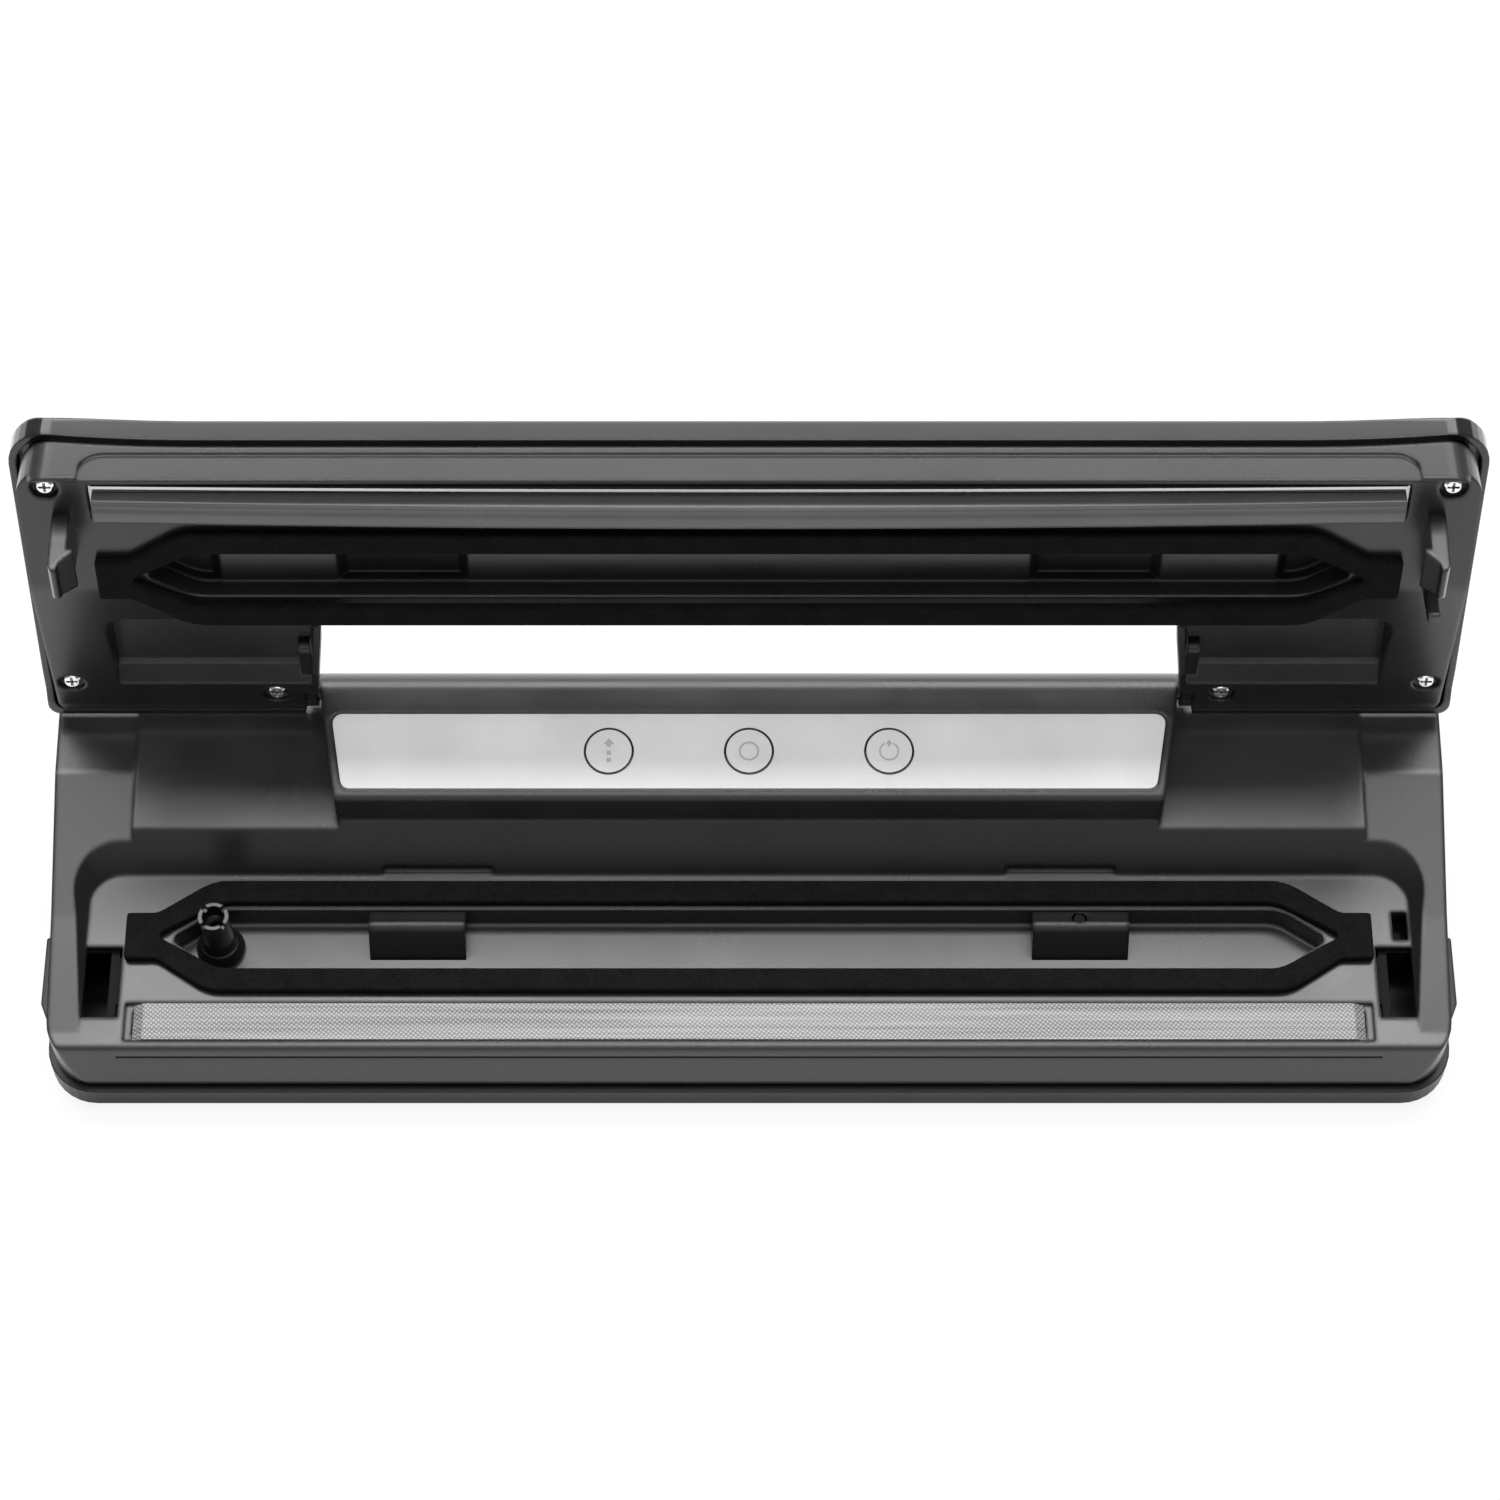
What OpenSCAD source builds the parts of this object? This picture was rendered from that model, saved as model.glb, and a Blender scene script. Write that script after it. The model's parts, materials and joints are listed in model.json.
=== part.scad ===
// Compact bag sealer: a low base with a hinged lid, shown with the lid open.
// Lengths along Y are given as distances in front of the hinge line ("out").
// Heights on the base are given above the deck, heights on the lid below the hinge line ("drop").

/* [Lid swing] */
// Angle of the lid from closed to fully open
lid_open = 103.15; // [95:0.05:110]

/* [Base] */
// Height of the deck above the table
deck_z = 28; // [26:0.5:34]
// Width of each side wall of the deck at the front
side_wall = 8.7; // [7.5:0.1:10]
// Extra half width of base and lid at the rear
side_flare = 2.4; // [1.5:0.1:3.2]
// Width of the strip of deck in front of the tape
front_strip = 2.6; // [2:0.1:5]
// How far the front face leans out from the deck down to the seam
front_lean = 3.8; // [1:0.1:4.5]
// Distance of the back wall behind the hinge line
back_in = 24; // [22:0.5:32]
// Height of the seam between the housing and the pan above the table
seam_z = 12.6; // [11:0.1:14]
// Dark gap left between the housing and the pan
seam_gap = 1.4; // [0.8:0.1:2]
// How far the pan stands out beyond the housing
pan_proud = 1.8; // [0.5:0.1:2.5]
// Wall thickness of the mouldings
wall = 2.2; // [1.8:0.1:2.6]
// Corner radius of the base seen from above
corner_r = 11.6; // [8:0.2:14]
// Height of the feet
foot_h = 3; // [2:0.25:5]

/* [Deck well] */
// Distance of the deck's rear edge from the hinge line
well_out = 44.5; // [43.5:0.1:45.2]
// Height of the flat rests behind the deck
rest_h = 15; // [12:0.25:15.5]
// How far in front of the hinge line the rests start to slope
rest_knee = 9; // [6:0.5:20]
// Slope of the rests towards the front, in degrees
rest_tilt = 4.5; // [1:0.1:6]
// How much lower the flanks lie than the rests
flank_step = 1.2; // [0.4:0.1:2]
// How far the ends of the rests stay inside the side walls
rest_inset = 11.7; // [10:0.1:30]
// How far the riser leans back over the height of the rests
riser_lean = 9.4; // [7:0.1:10]
// Distance of the front finger recess from the sides of the base
finger_inset = 18.4; // [16:0.1:80]
// Depth of the finger recess
finger_depth = 0.9; // [0.5:0.1:1.2]

/* [Control hump] */
// How much each side of the hump narrows from the hinge line to the riser
hump_narrowing = 5.6; // [4:0.1:9]
// Half width of the hump at the hinge line
hump_hinge_half = 117.4; // [100:0.1:125]
// Height of the panel's middle above the hinge line
panel_rise = 3; // [2.2:0.1:5]
// Width of the hump's strip in front of the panel
panel_lip = 2.57; // [2:0.01:3.6]
// Tilt of the panel towards the front
panel_tilt = 8.6; // [6:0.1:10]
// Slope of the hump's top behind the panel, in degrees
hump_tilt = 5; // [2:0.5:8]
// Length of the panel up its slope
panel_len = 21.5; // [20:0.1:22]
// Width of the hump's strip beside each end of the panel
panel_side = 2.3; // [1.5:0.1:8]
// Thickness of the panel plate
panel_t = 1; // [0.8:0.1:1.4]
// Diameter of each push button
button_d = 13.1; // [11:0.1:14]
// Distance between neighbouring push buttons
button_pitch = 38; // [28:0.5:50]
// Travel of each push button
button_travel = 0.6; // [0.3:0.1:0.7]
// Clearance round each push button
button_gap = 0.25; // [0.2:0.05:0.4]

/* [Vacuum channel and gaskets] */
// Gap between the riser's foot and the gasket
gasket_gap = 2.6; // [2:0.1:5]
// Width of the gasket from its rear to its front edge
gasket_w = 33.2; // [30:0.1:40]
// How far the gasket's end tabs reach past the end of the tape
gasket_over = 3.5; // [2:0.1:6]
// Width of the foam strip
foam_w = 6.7; // [5:0.1:7.5]
// Height of the base foam
foam_h = 2.85; // [2.5:0.05:2.9]
// Height of the lid foam
upper_foam_h = 2.65; // [2.4:0.05:2.9]
// Gap between the two foams when the lid is closed
foam_gap = 0.3; // [0.2:0.05:0.6]
// Depth of the drip channel
channel_depth = 8.2; // [6:0.1:9]
// Width of the ledge left between foam and channel
channel_ledge = 1.1; // [0.5:0.1:1.6]
// Height of the vacuum port above the deck
port_h = 12; // [9:0.1:12.2]
// Outer diameter of the port's notched ring
port_d = 8.4; // [7:0.1:9.4]
// Diameter of the port's foot
port_foot_d = 13.2; // [11:0.1:13.5]
// Distance of the port from the gasket's end
port_inset = 24.9; // [24.5:0.1:40]

/* [Sealing bar] */
// Half length of the sealing tape
tape_half = 165.6; // [150:0.2:180]
// Width of the sealing tape
tape_w = 10.6; // [8:0.1:10.8]
// Gap between the gasket and the tape
tape_gap = 2.8; // [2.2:0.1:5]
// Thickness of the sealing tape
tape_t = 0.35; // [0.25:0.05:0.5]
// How far the pressure bar reaches past the end of the tape
bar_over = 1.7; // [0:0.1:2.2]
// Width of the pressure bar
bar_w = 8; // [6:0.1:8.4]
// How far the bar's middle stands out beyond its ends
bar_bow = 2.2; // [0.5:0.1:3]

/* [Lid] */
// How far the lid liner reaches past the deck's front edge
liner_over = 4.9; // [4.4:0.1:6]
// Drop of the liner's flat underside below the hinge line
plate_drop = 17.4; // [17.2:0.1:18]
// Distance from the gasket's rear edge to the line where the underside starts to slope up
bend_gap = 11.4; // [9:0.1:15]
// Drop of the underside at the hinge line
rear_drop = 3.8; // [3.4:0.1:4.2]
// Gap between the deck and the front rim of the closed lid
rim_gap = 3.1; // [2:0.1:5]
// Thickness of the liner
liner_t = 1.8; // [1.4:0.1:2]
// Thickness of the outer lid shell
shell_t = 2; // [1.6:0.1:2.2]
// How far the outer shell stands out beyond the liner
shell_proud = 3.8; // [2.4:0.1:4]
// Height of the shell's crown above the hinge line
crown = 1.6; // [0.8:0.1:1.8]
// How far the shell's sides sweep up at the front corners
wing = 2.7; // [0.5:0.1:3]
// Depth of the outer shell's edge band
shell_band = 6.3; // [5.5:0.1:6.6]
// Depth of the vacuum recess in the lid
lid_channel_depth = 6.5; // [5:0.1:7]
// How much deeper the recess is over the port and the baffles
lid_pocket_depth = 3.1; // [2:0.1:4]

/* [Latches and hinge] */
// Radius of the hinge pins
pin_r = 1.9; // [1.5:0.1:2]
// Running clearance round the hinge pins
pin_gap = 0.05; // [0.02:0.01:0.09]
// Distance of the latch hooks' middle from the gasket's end
hook_gap = 6.3; // [6:0.1:8]
// Length of the hooks below the lid
hook_len = 17; // [16.6:0.1:17.4]
// How far the hook's barb stands out
barb = 1.6; // [1.4:0.1:1.8]
// Travel of the release buttons
release_travel = 2.5; // [2:0.1:2.8]
// Length of the release buttons
release_len = 24; // [21:0.5:25]
// Height of the release buttons
release_h = 9.6; // [8:0.1:10]
// Travel of the lid switch plunger
plunger_travel = 0.8; // [0.4:0.1:1]

/* [Hidden] */

$fn = 48;
SMOOTH = 32;
EPS = 0.01;
// Clearance between pieces that only rest beside each other
seat = 0.1;
// Clearance between pieces of different bodies
clear = 0.35;

// Across: all widths follow from the half length of the tape
gasket_half = tape_half + gasket_over;
bar_half = tape_half + bar_over;
hook_x = gasket_half + hook_gap;
window_x0 = hook_x - 5.6;
window_x1 = hook_x + 4.2;
well_half = window_x1 + seat;
housing_half = well_half + side_wall;
rest_half = well_half - rest_inset;
finger_half = housing_half - finger_inset;
port_x = gasket_half - port_inset;
// past the sides of every piece
wide = housing_half + 60;

// Front to back: all distances follow from the riser's foot
gasket_rear = well_out + gasket_gap;
gasket_front = gasket_rear + gasket_w;
tape_out = gasket_front + tape_gap + tape_w / 2;
deck_out = tape_out + tape_w / 2 + front_strip;
liner_out = deck_out + liner_over;
bend_out = gasket_rear + bend_gap;
riser_top = well_out - riser_lean;
hump_riser = riser_top - 2;
panel_out = hump_riser - panel_lip - cos(panel_tilt) * panel_len / 2;
hook_rear = gasket_front - 9.9;
hook_front = gasket_front + 5.9;
window_rear = hook_rear - 4.3;
window_front = hook_front + 0.9;
release_out = window_rear + 6.9;

// Heights: the two foams meet when the lid is closed
hinge_rise = plate_drop + upper_foam_h + foam_gap + foam_h;
hinge_z = deck_z + hinge_rise;
panel_h = hinge_rise + panel_rise;
rim_drop = hinge_rise - rim_gap;
hump_front_half = hump_hinge_half - hump_narrowing;
pan_half = housing_half + pan_proud;
front_y = -(deck_out + front_lean);
pan_front = deck_out + front_lean + pan_proud;
pan_back = back_in + pan_proud;
// Moves the part so that its box is centred on Y = 0
y_shift = (pan_front - pan_back) / 2;
under_deck = deck_z - wall;
pan_floor = foot_h + wall;

// Underside of the closed lid as a height above the deck
lid_slope = (plate_drop - rear_drop) / bend_out;
function lid_drop(out) = out >= bend_out ? plate_drop : rear_drop + lid_slope * out;
lid_clear = 1;
flank_top = rest_h - flank_step;
function flank_h(out) = min(flank_top, hinge_rise - lid_drop(out) - lid_clear);
function rest_top(out) = deck_z + rest_h - max(0, out - rest_knee) * tan(rest_tilt);

panel_slope = tan(panel_tilt);
function panel_top(out) = deck_z + panel_h + (panel_out - out) * panel_slope;

hump_taper = hump_narrowing / riser_top;
function hump_half(out) = hump_hinge_half - hump_taper * out;

// ---- plane outlines with rounded corners; each point is [x, y, radius] ----
function unit(v) = v / norm(v);
function flat(p) = [p[0], p[1]];
function corner_arc(before, p, after, r, n) =
    r <= 0 ? [p] :
    let (u = unit(before - p), v = unit(after - p),
         half = acos(max(-1, min(1, u * v))) / 2,
         centre = p + unit(u + v) * (r / sin(half)),
         first = p + u * (r / tan(half)) - centre,
         last = p + v * (r / tan(half)) - centre,
         start = atan2(first[1], first[0]),
         sweep = ((atan2(last[1], last[0]) - start + 540) % 360) - 180)
    [for (i = [0 : n]) centre + r * [cos(start + sweep * i / n), sin(start + sweep * i / n)]];
function rounded(path, n = 6) =
    let (k = len(path))
    [for (i = [0 : k - 1])
        each corner_arc(flat(path[(i + k - 1) % k]), flat(path[i]), flat(path[(i + 1) % k]), path[i][2], n)];
// Four-sided plan, symmetric about X = 0
function plan(front_half, rear_half, front, rear, front_r, rear_r) =
    [[-front_half, front, front_r], [front_half, front, front_r],
     [rear_half, rear, rear_r], [-rear_half, rear, rear_r]];
// Long plan with pointed ends, used by the channels and the inner edge of the foam
function pointed(half, straight, rear, front, tip_r, bend_r) =
    let (mid = -(rear + front) / 2)
    [[-straight, -front, bend_r], [straight, -front, bend_r], [half, mid, tip_r],
     [straight, -rear, bend_r], [-straight, -rear, bend_r], [-half, mid, tip_r]];

// ---- placing ----
module on_base() { translate([0, y_shift, 0]) children(); }
module on_lid() { translate([0, y_shift, hinge_z]) rotate([-lid_open, 0, 0]) children(); }
// Frame of the control panel: origin on its upper face, Z along its normal
module on_panel() {
    on_base() translate([0, -panel_out, deck_z + panel_h]) rotate([panel_tilt, 0, 0]) children();
}
module both_sides() { children(); mirror([1, 0, 0]) children(); }
// Solid with a side view in the YZ plane, running from x0 to x1
module side_view(path, x0, x1) {
    translate([x0, 0, 0]) rotate([90, 0, 90]) linear_extrude(x1 - x0) polygon(rounded(path));
}
module slab(path, z0, z1, n = 8) {
    translate([0, 0, z0]) linear_extrude(z1 - z0) polygon(rounded(path, n));
}
module block(x0, x1, y0, y1, z0, z1) { translate([x0, y0, z0]) cube([x1 - x0, y1 - y0, z1 - z0]); }
module rod(p, r, h) { translate(p) cylinder(r = r, h = h); }

// ---- base pan ----
pan_top = seam_z - seam_gap / 2;
housing_bottom = seam_z + seam_gap / 2;
lip_in = wall + 0.4;
lip_t = 1.6;
lip_h = 1;
screw_spots = [for (s = [-1, 1])
    each [[s * (port_x - 24.2), well_out + 3.5], [s * (pan_half - 14.2), -10], [s * 60, -16]]];
boss_r = 4;
screw_hole_r = 1.6;
pan_screw_r = 1.5;
foot_x = pan_half - 30.2;
foot_front = pan_front - 17.9;
foot_rear = pan_back - 17.8;
foot_d = 15;

function pan_plan(inset) =
    plan(pan_half - inset, pan_half + side_flare - inset, -pan_front + inset, pan_back - inset,
         corner_r + pan_proud - inset, corner_r + pan_proud - inset);
function housing_plan(inset) =
    plan(housing_half - inset, housing_half + side_flare - inset, front_y + inset, back_in - inset,
         corner_r - inset, corner_r - inset);

edge_bevel = 1.6;
module base_pan() {
    color([0.16, 0.16, 0.16]) on_base() difference() {
        union() {
            slab(pan_plan(edge_bevel), foot_h, foot_h + edge_bevel);
            slab(pan_plan(edge_bevel / 3), foot_h + edge_bevel / 3, foot_h + edge_bevel);
            slab(pan_plan(0), foot_h + edge_bevel, pan_top);
            // lip that closes the seam from inside
            difference() {
                slab(housing_plan(lip_in), foot_h + edge_bevel, housing_bottom + lip_h);
                slab(housing_plan(lip_in + lip_t), foot_h, housing_bottom + 2);
            }
        }
        difference() {
            slab(housing_plan(lip_in + lip_t), pan_floor, housing_bottom + 2);
            for (s = screw_spots) rod([s[0], -s[1], 0], boss_r, deck_z);
            for (x = [-foot_x, foot_x], y = [-foot_front, foot_rear])
                rod([x, y, 0], foot_d / 2 + 1.5, pan_floor + 1.2);
        }
        for (s = screw_spots) {
            rod([s[0], -s[1], foot_h - 1], screw_hole_r, deck_z);
            rod([s[0], -s[1], foot_h - 1], 3.2, 1 + 3);
            rod([s[0], -s[1], pan_top + 0.4], boss_r + 0.5, 20);
        }
        for (x = [-foot_x, foot_x], y = [-foot_front, foot_rear])
            rod([x, y, foot_h - 1], foot_d / 2 + seat, 1 + foot_recess);
        // cooling slots under the transformer
        for (i = [0 : 4]) block(76 + 8 * i, 80 + 8 * i, -52, -30, 0, pan_floor + 1);
        block(inlet_x - inlet_w / 2 - 1, inlet_x + inlet_w / 2 + 1, back_in - 17, back_in, pan_top - 0.2, 40);
        // room for the release buttons as they move in
        both_sides() block(housing_half - button_root - release_travel - clear, housing_half + 1,
                           -release_out - release_len / 2 - clear, -release_out + release_len / 2 + clear,
                           release_z - release_h / 2 - clear, deck_z);
    }
}

foot_recess = 1.2;
module feet() {
    color([0.05, 0.05, 0.05]) on_base()
        for (x = [-foot_x, foot_x], y = [-foot_front, foot_rear])
            translate([x, y, 0]) rotate_extrude() polygon(
                [[0, 0], [foot_d / 2 - 1.5, 0], [foot_d / 2, 1.5], [foot_d / 2, foot_h + foot_recess],
                 [0, foot_h + foot_recess]]);
}

module pan_screws() {
    color([0.75, 0.75, 0.77]) on_base()
        for (s = screw_spots) translate([s[0], -s[1], foot_h + 3]) {
            translate([0, 0, -2]) difference() {
                cylinder(r = 2.9, h = 2);
                cross_slot();
            }
            cylinder(r = pan_screw_r, h = 12);
        }
}

module cross_slot() {
    for (a = [0, 90]) rotate([0, 0, a]) translate([-1.6, -0.35, -1]) cube([3.2, 0.7, 1.9]);
}

// ---- housing ----
bead_r = 1.4;
hump_back_r = 12.5;
back_low = -8;
back_slope = 0.57;
// Distance of the back slope behind the hinge line at a height above the deck
function back_y(h) = back_in - back_slope * (h - back_low);
riser_foot = 4.6;
hump_knee = panel_out - cos(panel_tilt) * panel_len / 2 - 0.9;
// Height above the deck where the hump's sloping top meets its back slope
hump_rear_h = (panel_top(hump_knee) - deck_z - (back_y(0) + hump_knee) * tan(hump_tilt))
    / (1 - back_slope * tan(hump_tilt));
function hump_side(inset, bottom) =
    let (top_y = -hump_riser + inset)
    concat([[-riser_top + inset, bottom, 0], [-riser_top + inset, deck_z + rest_h - 0.2, 0],
     [top_y, panel_top(-top_y) - inset, 1.5], [-hump_knee, panel_top(hump_knee) - inset, 3],
     [back_y(hump_rear_h - inset) - 1.15 * inset, deck_z + hump_rear_h - inset, hump_back_r]],
    bottom < deck_z + back_low
        ? [[back_in - inset, deck_z + back_low, 8], [back_in - inset, bottom, 0]]
        : [[back_y(bottom - deck_z) - 1.15 * inset, bottom, 0]]);
function core_side(inset, bottom) =
    [[front_y + inset, bottom, 0], [front_y + inset, housing_bottom, 0],
     [-deck_out + inset, deck_z - inset, max(0.3, bead_r - inset)], [back_y(0) - inset, deck_z - inset, 1],
     [back_in - inset, deck_z + back_low, 1], [back_in - inset, bottom, 0]];
flank_knee = (hinge_rise - lid_clear - flank_top - rear_drop) / lid_slope;
function flank_side(inset, bottom) =
    [[front_y + 12, bottom, 0], [front_y + 12, deck_z - inset - 3, 0], [-deck_out + 3, deck_z - inset - 0.2, 0],
     [-bend_out, deck_z + flank_h(bend_out) - inset, 30],
     [-flank_knee, deck_z + flank_top - inset, 10],
     [back_y(flank_top) - inset, deck_z + flank_top - inset, 6], [back_in - inset, deck_z + back_low, 6],
     [back_in - inset, bottom, 0]];
function hump_plan(inset) =
    [[-hump_half(riser_top) + inset, -riser_top, 0], [hump_half(riser_top) - inset, -riser_top, 0],
     [hump_half(0) - inset, 0, 0], [hump_half(0) + 0.8 - inset, back_in, 0],
     [-hump_half(0) - 0.8 + inset, back_in, 0], [-hump_half(0) + inset, 0, 0]];

channel_rear = gasket_rear + foam_w + channel_ledge;
channel_front = gasket_front - foam_w - channel_ledge;
channel_half = gasket_half - 11.5;
channel_straight = gasket_half - 24.5;
function channel_plan(grow) =
    pointed(channel_half + grow * 1.2, channel_straight + grow * 0.4, channel_rear - grow,
            channel_front + grow, 2, 12);
channel_floor = deck_z - channel_depth;
port_out = (channel_rear + channel_front) / 2 - 0.9;

tape_recess = 1.2;
recess_half = tape_half + 2.3;
recess_rear = tape_out - tape_w / 2 - 0.2;
recess_front = tape_out + tape_w / 2 + 0.2;
bed_slot_w = 7.4;
bed_depth = 4.6;

switch_x0 = hook_x - 0.5;
switch_x1 = hook_x + 3.6;
switch_front = window_rear - 2.2;
switch_rear = switch_front - 8.4;

release_z = housing_bottom + 0.3 + release_h / 2;
release_proud = 3.1;
// How far the release buttons' roots lie inside the side faces
button_root = 1.4;
hinge_boss_r = 4.4;
ledge_x0 = 70.2;
ledge_x1 = 100.1;
ledge_w = 2.2;
ledge_h = 2.4;

module housing_outer() {
    difference() {
        union() {
            side_cut() side_view(core_side(0, housing_bottom), -wide, wide);
            side_cut() side_view(flank_side(0, housing_bottom), -wide, wide);
            // blocks of the rests and of the hump
            side_cut() difference() {
                side_view([[-well_out, deck_z - 1, 0], [-well_out, rest_top(well_out), 0],
                           [-rest_knee, deck_z + rest_h, 60], [back_y(rest_h), deck_z + rest_h, 6],
                           [back_y(-1), deck_z - 1, 0]], -wide, wide);
                for (m = [0, 1]) mirror([m, 0, 0])
                    slab([[rest_half, -80, 0], [wide, -80, 0], [wide, 60, 0], [rest_half, 60, 0]],
                         deck_z - 5, deck_z + 40);
            }
            block(-hump_front_half + 0.3, hump_front_half - 0.3, -well_out + 0.5, -hump_riser + 8,
                  deck_z - 1.5, deck_z + rest_h);
            intersection() {
                side_view(hump_side(0, housing_bottom), -wide, wide);
                slab(hump_plan(0), 0, 200);
            }
        }
        // the deck well with its sloping walls
        hull() {
            slab(plan(well_half, well_half, -deck_out - 30, -well_out, 0.1, 9), deck_z, deck_z + EPS);
            slab(plan(well_half + riser_lean * 0.96, well_half + riser_lean * 0.96, -deck_out - 30,
                      -well_out + riser_lean, 0.1, 17), deck_z + rest_h, deck_z + rest_h + EPS);
        }
    }
}
module side_cut() { intersection() { children(); slab(housing_plan(0), 0, 100); } }

module housing_hollow() {
    difference() {
        union() {
            intersection() {
                slab(housing_plan(wall), 0, under_deck);
                side_view(core_side(wall, -1), -wide, wide);
            }
            // space under the rests
            side_view([[-well_out + riser_foot, under_deck - 1, 0], [-well_out + riser_foot, under_deck, 0],
                       [-riser_top + 1.4, rest_top(riser_top - 1.4) - wall, 0],
                       [-rest_knee, deck_z + rest_h - wall, 0],
                       [back_y(rest_h) - 1.2 * wall, deck_z + rest_h - wall, 4],
                       [back_in - 1.2 * wall, deck_z + back_low, 0], [back_in - 1.2 * wall, under_deck - 8, 0]],
                      -rest_half + wall, rest_half - wall);
            intersection() {
                side_view(hump_side(wall + 0.6, under_deck - 1), -wide, wide);
                slab(hump_plan(wall), 0, 200);
            }
        }
        // walls round the channel, the heater slot and the latch windows
        slab(channel_plan(wall - 0.4), channel_floor - wall, deck_z);
        block(-recess_half, recess_half, -tape_out - bed_slot_w / 2 - 1.6, -tape_out + bed_slot_w / 2 + 1.6,
              deck_z - bed_depth - 1.6, deck_z);
        for (s = screw_spots) rod([s[0], -s[1], pan_top + 0.5], boss_r, 40);
        both_sides() translate([hump_half(0) - 6.4, 0, hinge_z]) rotate([0, 90, 0])
            cylinder(r = hinge_boss_r, h = 6);
        // ribs that the latch springs push against
        both_sides() block(spring_x1 - spring_len - 2, spring_x1 - spring_len, -spring_out - 2.5, -spring_out + 2.5,
                           slider_z0 - 1.5, deck_z);
        // posts that carry the panel board
        on_posts() cylinder(r = 2.2, h = 30);
    }
}
module on_posts() {
    for (x = [-board_half + 4, board_half - 4])
        translate([x, -panel_out, deck_z + panel_h]) rotate([panel_tilt, 0, 0])
            translate([0, 0, -board_drop]) children();
}

module base_housing() {
    color([0.2, 0.2, 0.2]) on_base() difference() {
        housing_outer();
        housing_hollow();
        slab(channel_plan(0), channel_floor, deck_z + 1);
        // recess of the sealing tape and slot of the heater bed
        block(-recess_half, recess_half, -recess_front, -recess_rear, deck_z - tape_recess, deck_z + 1);
        block(-recess_half + 2, recess_half - 2, -tape_out - bed_slot_w / 2, -tape_out + bed_slot_w / 2,
              deck_z - bed_depth, deck_z);
        both_sides() block(window_x0, window_x1, -window_front, -window_rear, under_deck - 1, deck_z + 1);
        block(switch_x0, switch_x1, -switch_front, -switch_rear, under_deck - 1, deck_z + 1);
        // small ledges along the foot of the riser
        both_sides() block(ledge_x0, ledge_x1, -well_out - 1, -well_out + ledge_w, deck_z, deck_z + ledge_h);
        // finger recess along the front edge
        block(-finger_half, finger_half, -deck_out - 12, -deck_out + 0.2 - finger_depth, deck_z - 4, deck_z + 1);
        // openings of the release buttons
        both_sides() block(housing_half - wall - 3, housing_half + 8, -release_out - release_len / 2 - clear,
                           -release_out + release_len / 2 + clear, release_z - release_h / 2 - clear,
                           release_z + release_h / 2 + clear);
        // bores of the hinge pins
        both_sides() translate([hump_half(0) - 5, 0, hinge_z]) rotate([0, 90, 0])
            cylinder(r = pin_r + pin_gap, h = 8);
        // seat of the panel and holes of the buttons
        translate([0, -panel_out, deck_z + panel_h]) rotate([panel_tilt, 0, 0]) {
            slab(panel_plan(-seat), -panel_t, 5);
            for (i = [-1 : 1]) rod([i * button_pitch, 0, -20], button_d / 2 + 0.6, 30);
            for (x = [-board_half + 4, board_half - 4]) rod([x, 0, -board_drop - 1], 0.9, 8);
        }
        port_foot(port_foot_d / 2 - 1, -1);
        sensor_place() rod([0, 0, -12], 1.5 + seat, 20);
        for (s = screw_spots) rod([s[0], -s[1], 0], screw_hole_r, pan_top + 12);
        // opening of the power inlet
        block(inlet_x - inlet_w / 2 - seat, inlet_x + inlet_w / 2 + seat, back_in - 6, back_in + 2,
              housing_bottom - 1, housing_bottom + inlet_h + seat);
    }
}
// half width of the panel at a distance up its slope from its middle
function panel_half(up) = hump_half(panel_out - cos(panel_tilt) * up) - panel_side;
function panel_plan(inset) =
    let (half_len = panel_len / 2, front = panel_half(-half_len) - inset, rear = panel_half(half_len) - inset)
    [[-front, -half_len + inset, 2.6], [front, -half_len + inset, 2.6],
     [rear, half_len - inset, 2.6], [-rear, half_len - inset, 2.6]];
module port_foot(r, lift) {
    translate([-port_x, -port_out, channel_floor - wall + lift]) cylinder(r = r, h = 6);
}

// ---- control panel ----
board_half = button_pitch + 24;
board_drop = 8.6;
board_t = 1.6;
board_w = 15;
tact_h = 4.2;
module panel_plate() {
    color([0.82, 0.82, 0.83]) on_panel() translate([0, 0, -panel_t]) difference() {
        slab(panel_plan(0), 0, panel_t);
        for (i = [-1 : 1]) rod([i * button_pitch, 0, -1], button_d / 2 + button_gap, 4);
    }
}
stem_r = 2.4;
module push_button(i) {
    color([0.85, 0.85, 0.86]) on_panel() translate([i * button_pitch, 0, 0]) rotate_extrude() polygon(
        [[0, -board_drop + tact_h + 0.1], [stem_r, -board_drop + tact_h + 0.1], [stem_r, -panel_t - 1.4],
         [button_d / 2, -panel_t - 1.4], [button_d / 2, -0.25], [button_d / 2 - 0.25, 0.05], [0, 0.05]]);
}
module pulse_button() { push_button(-1); }
module seal_button() { push_button(0); }
module vac_button() { push_button(1); }
module panel_board() {
    color([0.1, 0.3, 0.16]) on_panel() translate([-board_half, -board_w / 2, -board_drop - board_t])
        cube([2 * board_half, board_w, board_t]);
    color([0.15, 0.15, 0.15]) on_panel() for (i = [-1 : 1])
        translate([i * button_pitch, 0, -board_drop]) {
            translate([-3.5, -3.5, 0]) cube([7, 7, 3]);
            cylinder(r = 1.7, h = tact_h - 0.8);
        }
}

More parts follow.
